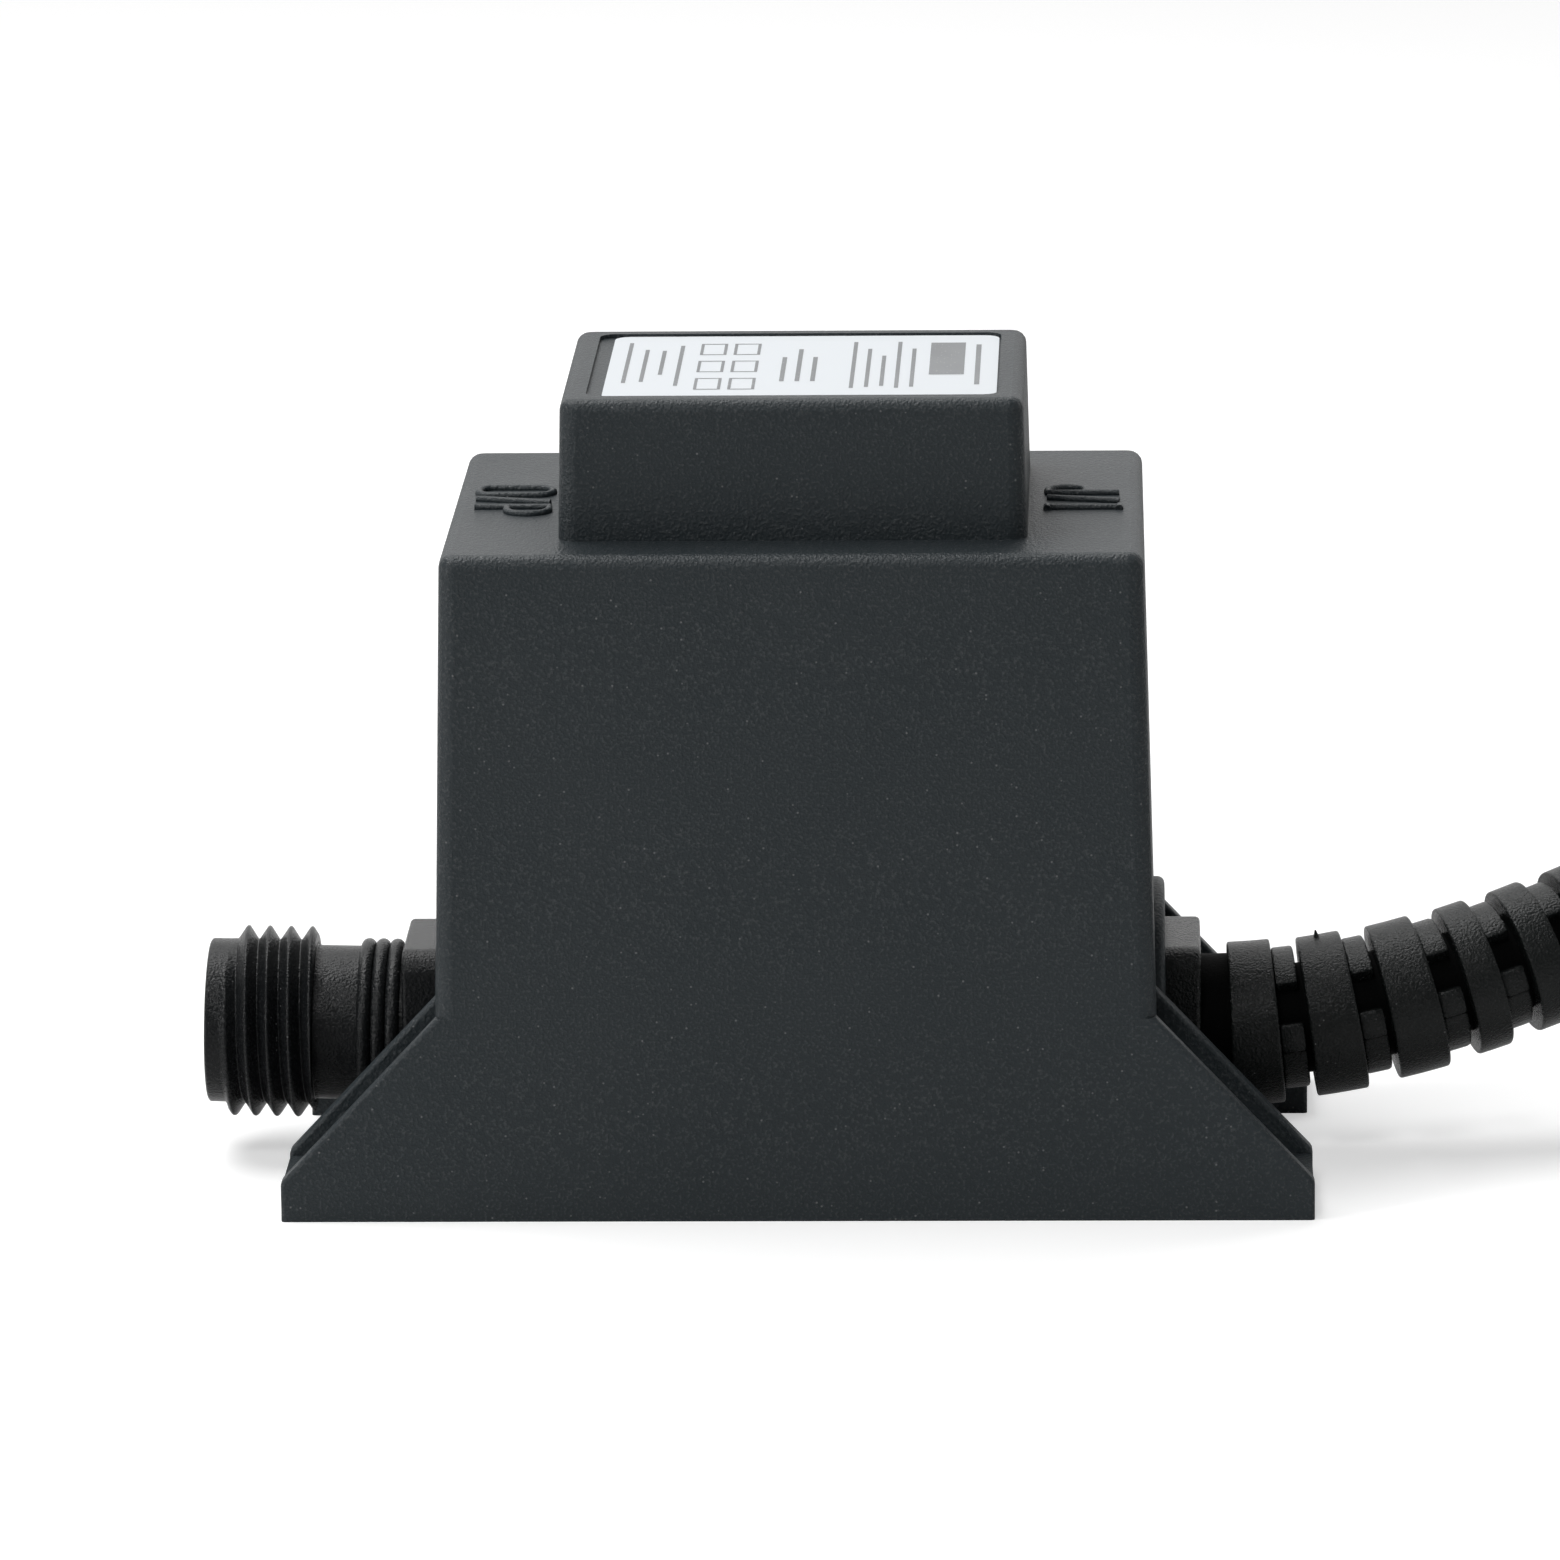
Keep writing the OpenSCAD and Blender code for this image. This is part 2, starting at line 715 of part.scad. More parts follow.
module thermal_fuse() color([0.82, 0.78, 0.7]) {
    translate([0, -terminal_y, live_run_z - axis_z])
        x_rod(fuse_x - fuse_l / 2, fuse_l, fuse_d / 2);
    wire([
        [sleeve_x - sleeve_l / 2, -terminal_y, live_run_z],
        [-terminal_x, -terminal_y, live_run_z],
        [-terminal_x, -terminal_y, terminal_z]
    ], fuse_wire_d);
}

// Stack of E laminations: the back lies at the rear and three limbs point forward
module e_laminations() color([0.45, 0.46, 0.48]) {
    translate([-core_w / 2, core_d / 2 - back_t, core_bottom]) cube([core_w, back_t, stack_h]);
    for (x = [-core_w / 2, -limb_w / 2, core_w / 2 - back_t]) {
        w = x == -limb_w / 2 ? limb_w : back_t;
        translate([x, -core_d / 2 + back_t, core_bottom]) cube([w, window_l + over, stack_h]);
    }
}

// Stack of I laminations that closes the limbs at the front
module i_laminations() color([0.5, 0.51, 0.53]) {
    translate([-core_w / 2, -core_d / 2, core_bottom])
        cube([core_w, back_t - core_gap, stack_h]);
}

// Rounded frame round the centre limb, l along Y
module limb_frame(out_w, out_h, in_w, in_h, r, l) {
    translate([0, l / 2, core_mid])
        rotate([90, 0, 0])
            linear_extrude(l)
                difference() {
                    rounded_rect(out_w, out_h, r);
                    square([in_w, in_h], center = true);
                }
}

module bobbin() color([0.85, 0.85, 0.8]) {
    limb_frame(tube_out_w, tube_out_h, tube_in_w, tube_in_h, bobbin_t / 2, bobbin_l);
    for (y = [-1, 0, 1]) {
        translate([0, y * (bobbin_l - bobbin_t) / 2, 0])
            limb_frame(bobbin_w, bobbin_h, tube_in_w, tube_in_h, bobbin_t, bobbin_t);
    }
    for (sy = [-1, 1]) {
        difference() {
            translate([-block_w / 2 + bobbin_t, sy * terminal_y - block_l / 2 - bobbin_t / 2, block_z])
                cube([block_w - 2 * bobbin_t, block_l + bobbin_t, block_h]);
            for (sx = [-1, 1]) {
                translate([sx * terminal_x, sy * terminal_y, block_z - over])
                    cylinder(d = terminal_d + 2 * seat_gap, h = block_h / 2 + over, $fn = 24);
            }
        }
    }
}

// One winding beside the bobbin's middle flange, on the side sy
module winding(sy) {
    y = sy * (bobbin_t / 2 + winding_gap + winding_l / 2);
    translate([0, y, 0])
        limb_frame(winding_w, winding_h, tube_out_w + 2 * winding_gap,
            tube_out_h + 2 * winding_gap, winding_r, winding_l);
}

module primary_winding() color([0.62, 0.34, 0.16]) winding(-1);

module secondary_winding() color([0.72, 0.42, 0.2]) winding(1);

// A wrap of tape on each winding
module winding_tape() color([0.9, 0.8, 0.3]) {
    w = winding_w + 2 * seat_gap;
    h = winding_h + 2 * seat_gap;
    for (sy = [-1, 1]) {
        y = sy * (bobbin_t / 2 + winding_gap + winding_l / 2);
        translate([0, y + tape_l_share * winding_l / 2, core_mid])
            rotate([90, 0, 0])
                linear_extrude(tape_l_share * winding_l)
                    difference() {
                        rounded_rect(w + 2 * tape_t, h + 2 * tape_t, winding_r + tape_t);
                        rounded_rect(w, h, winding_r);
                    }
    }
}

module terminal_pins() color([0.78, 0.78, 0.76]) {
    for (sx = [-1, 1], sy = [-1, 1]) {
        translate([sx * terminal_x, sy * terminal_y, terminal_z])
            cylinder(d = terminal_d, h = terminal_drop + block_h / 2, $fn = 24);
    }
}

module output_wires() color([0.1, 0.1, 0.1]) {
    wire([
        [-contact_tail_x, contact_pitch / 2, axis_z],
        [-near_turn_x, contact_pitch / 2, axis_z],
        [-near_turn_x, terminal_y, axis_z],
        [-terminal_x, terminal_y, axis_z],
        [-terminal_x, terminal_y, terminal_z]
    ], output_wire_d);
    wire([
        [-contact_tail_x, -contact_pitch / 2, axis_z],
        [-far_turn_x, -contact_pitch / 2, axis_z],
        [-far_turn_x, -contact_pitch / 2, cross_z],
        [-far_turn_x, cross_y, cross_z],
        [terminal_x, cross_y, cross_z],
        [terminal_x, terminal_y, cross_z],
        [terminal_x, terminal_y, terminal_z]
    ], output_wire_d);
}

module potting_compound() color([0.2, 0.2, 0.21]) {
    difference() {
        intersection() {
            cavity();
            translate([-base_l / 2, -body_d / 2, potting_z]) cube([base_l, body_d, top_z]);
        }
        for (m = [0, 1]) {
            mirror([m, 0, 0]) {
                x_rod(wall_in_x - barrel_in, base_l, barrel_d / 2 + barrel_gap);
                x_rod(wall_in_x - side_inset(retaining_d / 2) - ring_t - 2 * seat_gap,
                    base_l, retaining_d / 2 + seat_gap);
            }
        }
        lead_core(lead_d);
        live_wire();
        neutral_wire();
        crimp_sleeve();
        thermal_fuse();
        output_wires();
        terminal_pins();
        for (sy = [-1, 1]) {
            translate([0, sy * contact_pitch / 2, 0])
                on_left() x_rod(contact_tail_x, contact_l, contact_d / 2);
            translate([-block_w / 2 + bobbin_t, sy * terminal_y - block_l / 2 - bobbin_t / 2, block_z])
                cube([block_w - 2 * bobbin_t, block_l + bobbin_t, block_h]);
        }
        translate([-core_w / 2, -core_d / 2, core_bottom]) cube([core_w, core_d, stack_h]);
        translate([0, bobbin_l / 2, core_mid])
            rotate([90, 0, 0])
                linear_extrude(bobbin_l) rounded_rect(bobbin_w, bobbin_h, bobbin_t);
    }
}

// Share of a pitch by which the coil has wound inwards after u loops
function wound_in(u) = let (m = u % (2 * turns_per_layer))
    m < turns_per_layer ? m : 2 * turns_per_layer - m;
function eased(t) = t <= 0 ? 0 : t >= 1 ? 1 : t * t * (3 - 2 * t);
function climbed(u, k = 1) = k >= layers ? 0
    : eased((u - k * turns_per_layer + climb_share / 2) / climb_share) + climbed(u, k + 1);
function coil_point(u) = let (
        r = coil_r - turn_pitch * wound_in(u),
        a = coil_start_deg + 360 * u
    ) [coil_x + r * cos(a), coil_y + r * sin(a), lead_z + layer_pitch * climbed(u)];
coil_points = [for (i = [0:loop_count * loop_rings]) coil_point(i / loop_rings)];
coil_end = coil_points[len(coil_points) - 1];

// Least distance between two points that lie most of a loop or more apart along the coil
near_gap = min([
    for (i = [0:len(coil_points) - 1], j = [i + 3 * loop_rings / 4:len(coil_points) - 1])
        norm(coil_points[i] - coil_points[j])
]) - lead_d;
echo("least gap of the coil to itself", near_gap);
echo("mouth of the relief", mouth_frame[0], mouth_frame[1]);

mouth_point = mouth_frame[0];
mouth_dir = mouth_frame[1];
lead_points = concat(
    [mouth_point, mouth_point + lead_d * mouth_dir],
    lead_route,
    [coil_points[0] - [lead_d, 0, 0], coil_points[0]]
);
end_points = concat(
    [coil_end, coil_end + [lead_d, 0, 0]],
    end_route,
    [[relief_tip_x + lead_d, plug_y, plug_z], [relief_tip_x, plug_y, plug_z]]
);
function path_length(p, i = 1) = i >= len(p) ? 0 : norm(p[i] - p[i - 1]) + path_length(p, i + 1);
echo("lead lengths", path_length(lead_points), path_length(coil_points), path_length(end_points));

// Tube swept along points; its first and last faces are square to dir_a and dir_b
module swept_tube(points, d, sides, dir_a, dir_b) {
    n = len(points);
    dirs = [
        for (i = [0:n - 1])
            i == 0 ? dir_a : i == n - 1 ? dir_b
                : let (v = points[i + 1] - points[i - 1]) v / norm(v)
    ];
    verts = [
        for (i = [0:n - 1])
            let (t = dirs[i], w = cross([0, 0, 1], t), s = w / norm(w), u = cross(t, s))
                for (k = [0:sides - 1])
                    let (a = 360 * k / sides) points[i] + d / 2 * (cos(a) * s + sin(a) * u)
    ];
    skin = [
        for (i = [0:n - 2], k = [0:sides - 1])
            let (a = i * sides + k, b = i * sides + (k + 1) % sides)
                each [[a, a + sides, b], [b, a + sides, b + sides]]
    ];
    cap_a = [for (k = [1:sides - 2]) [0, k, k + 1]];
    last = (n - 1) * sides;
    cap_b = [for (k = [1:sides - 2]) [last, last + k + 1, last + k]];
    polyhedron(verts, concat(skin, cap_a, cap_b));
}

module mains_lead() color([0.08, 0.08, 0.09])
    swept_tube(lead_points, lead_d, lead_sides, mouth_dir, [1, 0, 0]);

module mains_lead_coil() color([0.08, 0.08, 0.09])
    swept_tube(coil_points, lead_d, coil_sides, [1, 0, 0], [1, 0, 0]);

module mains_lead_end() color([0.08, 0.08, 0.09])
    swept_tube(end_points, lead_d, lead_sides, [1, 0, 0], [-1, 0, 0]);

// Flat strap round the bundle of turns
module coil_tie() color([0.12, 0.12, 0.13]) {
    in_r = coil_r - turns_per_layer * turn_pitch - lead_d / 2 - tie_gap - tie_t;
    out_r = coil_r + lead_d / 2 + tie_gap + tie_t;
    h = coil_top_z + tie_gap + tie_t;
    translate([coil_x, coil_y, 0])
        rotate([0, 0, tie_deg])
            rotate_extrude(angle = tie_l_deg)
                difference() {
                    translate([in_r, 0]) square([out_r - in_r, h]);
                    translate([in_r + tie_t, tie_t])
                        square([out_r - in_r - 2 * tie_t, h - 2 * tie_t]);
                }
}

// Plug body: a flat shell that narrows towards the lead, and its tapered relief
module plug_body() color([0.07, 0.07, 0.08]) {
    mid_x = plug_face_x + plug_mid_share * plug_l;
    side_r = plug_t / 2;
    back_y = plug_back_w_share * plug_w / 2 - side_r;
    difference() {
        union() {
            hull() {
                for (sy = [-1, 1]) {
                    y = plug_y + sy * (plug_w / 2 - side_r);
                    translate([plug_face_x, y, plug_z])
                        rotate([0, 90, 0])
                            cylinder(r = side_r, h = mid_x - plug_face_x, $fn = corner_fn);
                    translate([plug_face_x, plug_y + sy * back_y, plug_z])
                        rotate([0, 90, 0])
                            cylinder(r = side_r - plug_edge_r / 2, h = plug_l, $fn = corner_fn);
                }
            }
            translate([plug_back_x - over, plug_y, plug_z])
                rotate([0, 90, 0])
                    cylinder(d1 = plug_relief_root_d, d2 = plug_relief_end_d, h = plug_relief_l + over);
        }
        for (sy = [-1, 1]) {
            translate([plug_face_x - over, plug_y + sy * pin_pitch / 2, plug_z])
                rotate([0, 90, 0])
                    cylinder(d = pin_root_d + 2 * seat_gap, h = pin_in + over, $fn = 32);
        }
    }
}

module plug_pins() color([0.8, 0.78, 0.72]) {
    for (sy = [-1, 1]) {
        translate([plug_face_x - pin_l, plug_y + sy * pin_pitch / 2, plug_z])
            rotate([0, 90, 0]) {
                translate([0, 0, pin_d / 4]) cylinder(d = pin_d, h = pin_l - sleeve_on_pin_l - pin_d / 4);
                cylinder(d1 = pin_d / 2, d2 = pin_d, h = pin_d / 4);
                translate([0, 0, pin_l - sleeve_on_pin_l])
                    cylinder(d = pin_d - 5 * sleeve_step, h = sleeve_on_pin_l);
                translate([0, 0, pin_l]) cylinder(d = pin_root_d, h = pin_in - seat_gap);
            }
    }
}

// Insulating sleeves on the root half of each pin
module plug_sleeves() color([0.07, 0.07, 0.08]) {
    for (sy = [-1, 1]) {
        translate([plug_face_x - sleeve_on_pin_l + seat_gap, plug_y + sy * pin_pitch / 2, plug_z])
            rotate([0, 90, 0])
                difference() {
                    cylinder(d = pin_d - 2 * sleeve_step, h = sleeve_on_pin_l - 2 * seat_gap);
                    translate([0, 0, -over])
                        cylinder(d = pin_d - 4 * sleeve_step, h = sleeve_on_pin_l + 2 * over);
                }
    }
}

housing();
rating_label();
output_socket();
socket_insert();
output_contacts();
strain_relief_boot();
retaining_rings();
mains_lead_inner();
live_wire();
neutral_wire();
crimp_sleeve();
thermal_fuse();
e_laminations();
i_laminations();
bobbin();
primary_winding();
secondary_winding();
winding_tape();
terminal_pins();
output_wires();
potting_compound();
mains_lead();
mains_lead_coil();
mains_lead_end();
coil_tie();
plug_body();
plug_pins();
plug_sleeves();
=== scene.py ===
import math

import bmesh
import bpy
from mathutils import Matrix, Vector


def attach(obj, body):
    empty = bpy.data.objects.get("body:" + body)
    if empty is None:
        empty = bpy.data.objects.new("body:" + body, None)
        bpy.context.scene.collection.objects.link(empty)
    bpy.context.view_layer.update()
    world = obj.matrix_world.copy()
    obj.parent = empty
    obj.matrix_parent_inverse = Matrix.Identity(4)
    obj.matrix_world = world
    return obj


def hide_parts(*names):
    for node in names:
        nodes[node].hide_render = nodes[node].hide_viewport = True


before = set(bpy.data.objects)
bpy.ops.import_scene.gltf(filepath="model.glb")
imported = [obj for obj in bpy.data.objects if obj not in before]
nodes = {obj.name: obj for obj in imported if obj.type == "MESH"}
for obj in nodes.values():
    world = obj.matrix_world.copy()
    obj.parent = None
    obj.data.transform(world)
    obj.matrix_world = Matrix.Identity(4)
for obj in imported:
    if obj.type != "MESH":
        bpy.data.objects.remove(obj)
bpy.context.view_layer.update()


# The studio: a white table that runs on without an edge, five soft lamps, and a room that
# is white behind the object and dark in front of it, as shiny surfaces mirror it.
def node_adder(tree):
    # An input goes by its name, with _ for a space, or by its number as i0, i1 and so on.
    # It takes a plain value or the output of another node.
    def add(kind, operation=None, **inputs):
        node = tree.nodes.new(kind)
        if operation:
            node.operation = operation
        for key, value in inputs.items():
            numbered = key[0] == "i" and key[1:].isdigit()
            socket = node.inputs[int(key[1:])] if numbered else node.inputs[key.replace("_", " ")]
            if isinstance(value, bpy.types.NodeSocket):
                tree.links.new(value, socket)
            else:
                socket.default_value = value
        return node

    return add


scene = bpy.context.scene
scene.view_settings.view_transform = "Standard"

room_light, room_white, mirrored_dark = 0.09, 1.0, 0.06
dark_up_to, white_from = 0.05, 0.6
world = bpy.data.worlds.new("studio")
scene.world = world
world.use_nodes = True
world.node_tree.nodes.clear()
add = node_adder(world.node_tree)
rays = add("ShaderNodeLightPath")
toward = add("ShaderNodeSeparateXYZ", i0=add("ShaderNodeTexCoord").outputs["Generated"])
room = add(
    "ShaderNodeMapRange", Value=toward.outputs["Y"], From_Min=dark_up_to, From_Max=white_from,
    To_Min=mirrored_dark, To_Max=room_white,
)
mirrored = add("ShaderNodeMath", "MULTIPLY", i0=rays.outputs["Is Glossy Ray"], i1=room.outputs[0])
seen = add(
    "ShaderNodeMath", "MAXIMUM",
    i0=rays.outputs["Is Camera Ray"], i1=rays.outputs["Is Transmission Ray"],
)
seen = add("ShaderNodeMath", "MAXIMUM", i0=seen.outputs[0], i1=mirrored.outputs[0])
level = add("ShaderNodeMapRange", Value=seen.outputs[0], To_Min=room_light, To_Max=room_white)
light = add("ShaderNodeBackground", Color=(1, 1, 1, 1), Strength=level.outputs[0])
add("ShaderNodeOutputWorld", i0=light.outputs[0])

table_width, darkest_tone, palest_tone, lift_to_white = 8, 0.73, 0.76, 0.48
bpy.ops.mesh.primitive_plane_add(size=table_width, location=(0, 0, 0))
table = bpy.context.object
table.name = "table"
white = bpy.data.materials.new("table white")
white.use_nodes = True
white.node_tree.nodes.clear()
add = node_adder(white.node_tree)
rays = add("ShaderNodeLightPath")
cloud = add("ShaderNodeTexNoise", Scale=3.0, Detail=2.0)
tone = add("ShaderNodeMapRange", Value=cloud.outputs[0], To_Min=darkest_tone, To_Max=palest_tone)
paper = add("ShaderNodeCombineColor", i0=tone.outputs[0], i1=tone.outputs[0], i2=tone.outputs[0])
matte = add("ShaderNodeBsdfDiffuse", Color=paper.outputs[0])
lift = add("ShaderNodeMath", "MULTIPLY", i0=rays.outputs["Is Camera Ray"], i1=lift_to_white)
glow = add("ShaderNodeEmission", Color=(1, 1, 1, 1), Strength=lift.outputs[0])
both = add("ShaderNodeAddShader", i0=matte.outputs[0], i1=glow.outputs[0])
add("ShaderNodeOutputMaterial", i0=both.outputs[0])
table.data.materials.append(white)


def softbox(name, place, aim, size, power):
    lamp = bpy.data.lights.new(name, "AREA")
    lamp.shape = "RECTANGLE"
    lamp.size, lamp.size_y = size
    lamp.energy = power
    box = bpy.data.objects.new(name, lamp)
    scene.collection.objects.link(box)
    box.location = place
    box.rotation_euler = (Vector(aim) - Vector(place)).to_track_quat("-Z", "Y").to_euler()


middle = (0, 0, 0.03)
softbox("rear box", place=(0.0, 0.6, 1.0), aim=middle, size=(0.7, 0.3), power=2.3)
softbox("overhead box", place=(-0.38, 0.1, 0.95), aim=middle, size=(0.7, 0.5), power=7.4)
softbox("front box", place=(-0.15, -0.75, 0.8), aim=(0.02, 0, 0.02), size=(0.25, 0.2), power=2.7)
softbox("left box", place=(-0.95, -0.6, 0.3), aim=middle, size=(0.08, 0.5), power=3.3)
softbox("right box", place=(1.0, -0.2, 0.5), aim=middle, size=(0.3, 0.6), power=0.95)

# Camera: a long lens about a metre in front, thirteen degrees above the table and turned
# two degrees, found by fitting the edges of the housing in the photograph.
camera_place = (0.030915, -0.955311, 0.268025)
lens_mm, sensor_mm, farthest = 230.77, 36, 20
pitch, yaw, roll = math.radians(13.5522), math.radians(1.9774), math.radians(-0.6604)
ahead = Vector((-math.sin(yaw) * math.cos(pitch), math.cos(yaw) * math.cos(pitch), -math.sin(pitch)))
side = Vector((math.cos(yaw), math.sin(yaw), 0))
up = side.cross(ahead)
side, up = (
    math.cos(roll) * side + math.sin(roll) * up,
    math.cos(roll) * up - math.sin(roll) * side,
)
camera = bpy.data.objects.new("camera", bpy.data.cameras.new("camera"))
camera.data.lens = lens_mm
camera.data.sensor_width = sensor_mm
camera.data.clip_end = farthest
camera.matrix_world = Matrix.Translation(camera_place) @ Matrix(
    ((side.x, up.x, -ahead.x), (side.y, up.y, -ahead.y), (side.z, up.z, -ahead.z))
).to_4x4()
scene.collection.objects.link(camera)
scene.camera = camera


# The finish that all moulded pieces share: a fine grain left by the mould, with paler points
# painted on its highest grains as glints of light, a cloudy change of tone and a few pale specks of dust.
def group_of(name, ins, outs):
    tree = bpy.data.node_groups.new(name, "ShaderNodeTree")
    for label, kind, value in ins:
        socket = tree.interface.new_socket(label, in_out="INPUT", socket_type=kind)
        socket.default_value = value
    for label, kind in outs:
        tree.interface.new_socket(label, in_out="OUTPUT", socket_type=kind)
    return tree, tree.nodes.new("NodeGroupInput"), tree.nodes.new("NodeGroupOutput")


grain, given, result = group_of(
    "moulded grain",
    [
        ("Colour", "NodeSocketColor", (0.04, 0.04, 0.04, 1)),
        ("Pale", "NodeSocketColor", (0.2, 0.2, 0.2, 1)),
        ("Cloud", "NodeSocketFloat", 0.1),
        ("Specks", "NodeSocketFloat", 0.3),
        ("Speck density", "NodeSocketFloat", 0.1),
        ("Grains per metre", "NodeSocketFloat", 3000.0),
        ("Roughness", "NodeSocketFloat", 0.6),
        ("Roughness change", "NodeSocketFloat", 0.1),
        ("Grain tone", "NodeSocketFloat", 0.02),
    ],
    [
        ("Colour", "NodeSocketColor"),
        ("Roughness", "NodeSocketFloat"),
        ("Height", "NodeSocketFloat"),
    ],
)
clouds_per_metre, speck_cells_to_a_grain = 70.0, 0.6
speck_rim, speck_core = 0.28, 0.12
point_foot, point_top = 0.52, 0.8
add = node_adder(grain)
place = add("ShaderNodeTexCoord").outputs["Object"]
fine = add("ShaderNodeTexNoise", Vector=place, Scale=given.outputs["Grains per metre"], Detail=2.0)
cloud = add("ShaderNodeTexNoise", Vector=place, Scale=clouds_per_metre, Detail=4.0)
cells_per_metre = add(
    "ShaderNodeMath", "MULTIPLY", i0=given.outputs["Grains per metre"], i1=speck_cells_to_a_grain,
)
cells = add("ShaderNodeTexVoronoi", Vector=place, Scale=cells_per_metre.outputs[0])
near_middle = add(
    "ShaderNodeMapRange", Value=cells.outputs["Distance"], From_Min=speck_rim, From_Max=speck_core,
)
chance = add("ShaderNodeSeparateColor", i0=cells.outputs["Color"])
rare = add("ShaderNodeMath", "LESS_THAN", i0=chance.outputs[0], i1=given.outputs["Speck density"])
speck = add("ShaderNodeMath", "MULTIPLY", i0=near_middle.outputs[0], i1=rare.outputs[0])
speck = add("ShaderNodeMath", "MULTIPLY", i0=speck.outputs[0], i1=given.outputs["Specks"])
tone = add("ShaderNodeMath", "MULTIPLY", i0=cloud.outputs[0], i1=given.outputs["Cloud"])
tone = add("ShaderNodeMath", "ADD", i0=tone.outputs[0], i1=speck.outputs[0])
# Painted glints: the highest grains are made paler in colour, as if light sparkled on them
glint_points = add(
    "ShaderNodeMapRange", Value=fine.outputs[0], From_Min=point_foot, From_Max=point_top,
)
painted_glints = add(
    "ShaderNodeMath", "MULTIPLY", i0=glint_points.outputs[0], i1=given.outputs["Grain tone"],
)
tone = add("ShaderNodeMath", "ADD", i0=tone.outputs[0], i1=painted_glints.outputs[0])
# Of a Mix node's sockets, inputs 6 and 7 and output 2 are its colours
paint = grain.nodes.new("ShaderNodeMix")
paint.data_type = "RGBA"
grain.links.new(tone.outputs[0], paint.inputs[0])
grain.links.new(given.outputs["Colour"], paint.inputs[6])
grain.links.new(given.outputs["Pale"], paint.inputs[7])
grain.links.new(paint.outputs[2], result.inputs["Colour"])
shift = add("ShaderNodeMath", "SUBTRACT", i0=cloud.outputs[0], i1=0.5)
shift = add("ShaderNodeMath", "MULTIPLY", i0=shift.outputs[0], i1=given.outputs["Roughness change"])
shift = add("ShaderNodeMath", "ADD", i0=shift.outputs[0], i1=given.outputs["Roughness"])
grain.links.new(shift.outputs[0], result.inputs["Roughness"])
grain.links.new(fine.outputs[0], result.inputs["Height"])


def moulded(name, colour, pale, rough, relief, gloss, **settings):
    finish = bpy.data.materials.new(name)
    finish.use_nodes = True
    tree = finish.node_tree
    shader = tree.nodes["Principled BSDF"]
    shader.inputs["Specular IOR Level"].default_value = gloss
    skin = tree.nodes.new("ShaderNodeGroup")
    skin.node_tree = grain
    skin.inputs["Colour"].default_value = (*colour, 1)
    skin.inputs["Pale"].default_value = (*pale, 1)
    skin.inputs["Roughness"].default_value = rough
    for key, value in settings.items():
        skin.inputs[key.replace("_", " ").capitalize()].default_value = value
    bump = tree.nodes.new("ShaderNodeBump")
    bump.inputs["Strength"].default_value = 1.0
    bump.inputs["Distance"].default_value = relief
    tree.links.new(skin.outputs["Colour"], shader.inputs["Base Color"])
    tree.links.new(skin.outputs["Roughness"], shader.inputs["Roughness"])
    tree.links.new(skin.outputs["Height"], bump.inputs["Height"])
    tree.links.new(bump.outputs["Normal"], shader.inputs["Normal"])
    return finish


# The housing: one drafted moulding of grained polyamide, with a raised head, two arched
# pads for the outlets and four ears, each of two gussets with a flange between. Sizes
# from here on are in millimetres, but the relief of a finish is in metres.
mm, per_metre = 0.001, 1000.0
corners = ((-1, -1), (1, -1), (1, 1), (-1, 1))
# Edges are picked by where their ends lie, to within this much
near = 0.1


def solid_from(points, faces):
    mesh = bpy.data.meshes.new("solid")
    mesh.from_pydata([Vector(p) * mm for p in points], [], faces)
    mesh.update()
    made = bpy.data.objects.new("solid", mesh)
    scene.collection.objects.link(made)
    bm = bmesh.new()
    bm.from_mesh(mesh)
    bmesh.ops.recalc_face_normals(bm, faces=bm.faces)
    bm.to_mesh(mesh)
    bm.free()
    return made


def skin_over(rings, count):
    # Faces between rings of points that follow each other, each of the same count
    return [
        (i * count + k, (i + 1) * count + k, (i + 1) * count + (k + 1) % count, i * count + (k + 1) % count)
        for i in range(rings - 1) for k in range(count)
    ]


def lids(rings, count):
    return [tuple(range(count)), tuple(range(rings * count - 1, (rings - 1) * count - 1, -1))]


def drafted_box(foot, top, z0, z1):
    points = [(sx * w / 2, sy * d / 2, z) for z, (w, d) in ((z0, foot), (z1, top)) for sx, sy in corners]
    sides = [(i, (i + 1) % 4, (i + 1) % 4 + 4, i + 4) for i in range(4)]
    return solid_from(points, [(0, 3, 2, 1), (4, 5, 6, 7)] + sides)


def slab(outline, y0, y1, lean=0.0):
    points = [(x, y0 + lean * z, z) for x, z in outline] + [(x, y1, z) for x, z in outline]
    return solid_from(points, lids(2, len(outline)) + skin_over(2, len(outline)))


def rod(start, end, radius, sides=48, end_radius=None):
    start, end = Vector(start), Vector(end)
    turn = (end - start).to_track_quat("Z", "Y").to_matrix()
    points = []
    for at, r in ((start, radius), (end, radius if end_radius is None else end_radius)):
        for i in range(sides):
            a = 2 * math.pi * i / sides
            points.append(at + turn @ Vector((r * math.cos(a), r * math.sin(a), 0)))
    return solid_from(points, lids(2, sides) + skin_over(2, sides))


def round_edges(made, radius, chosen, steps=4):
    bm = bmesh.new()
    bm.from_mesh(made.data)
    edges = [e for e in bm.edges if chosen(*(v.co * per_metre for v in e.verts))]
    bmesh.ops.bevel(
        bm, geom=edges, offset=radius * mm, offset_type="OFFSET", segments=steps,
        profile=0.5, affect="EDGES", clamp_overlap=True,
    )
    bm.to_mesh(made.data)
    bm.free()


def upright(least):
    return lambda a, b: abs(a.z - b.z) > least


def along_top(z):
    return lambda a, b: min(a.z, b.z) > z - near


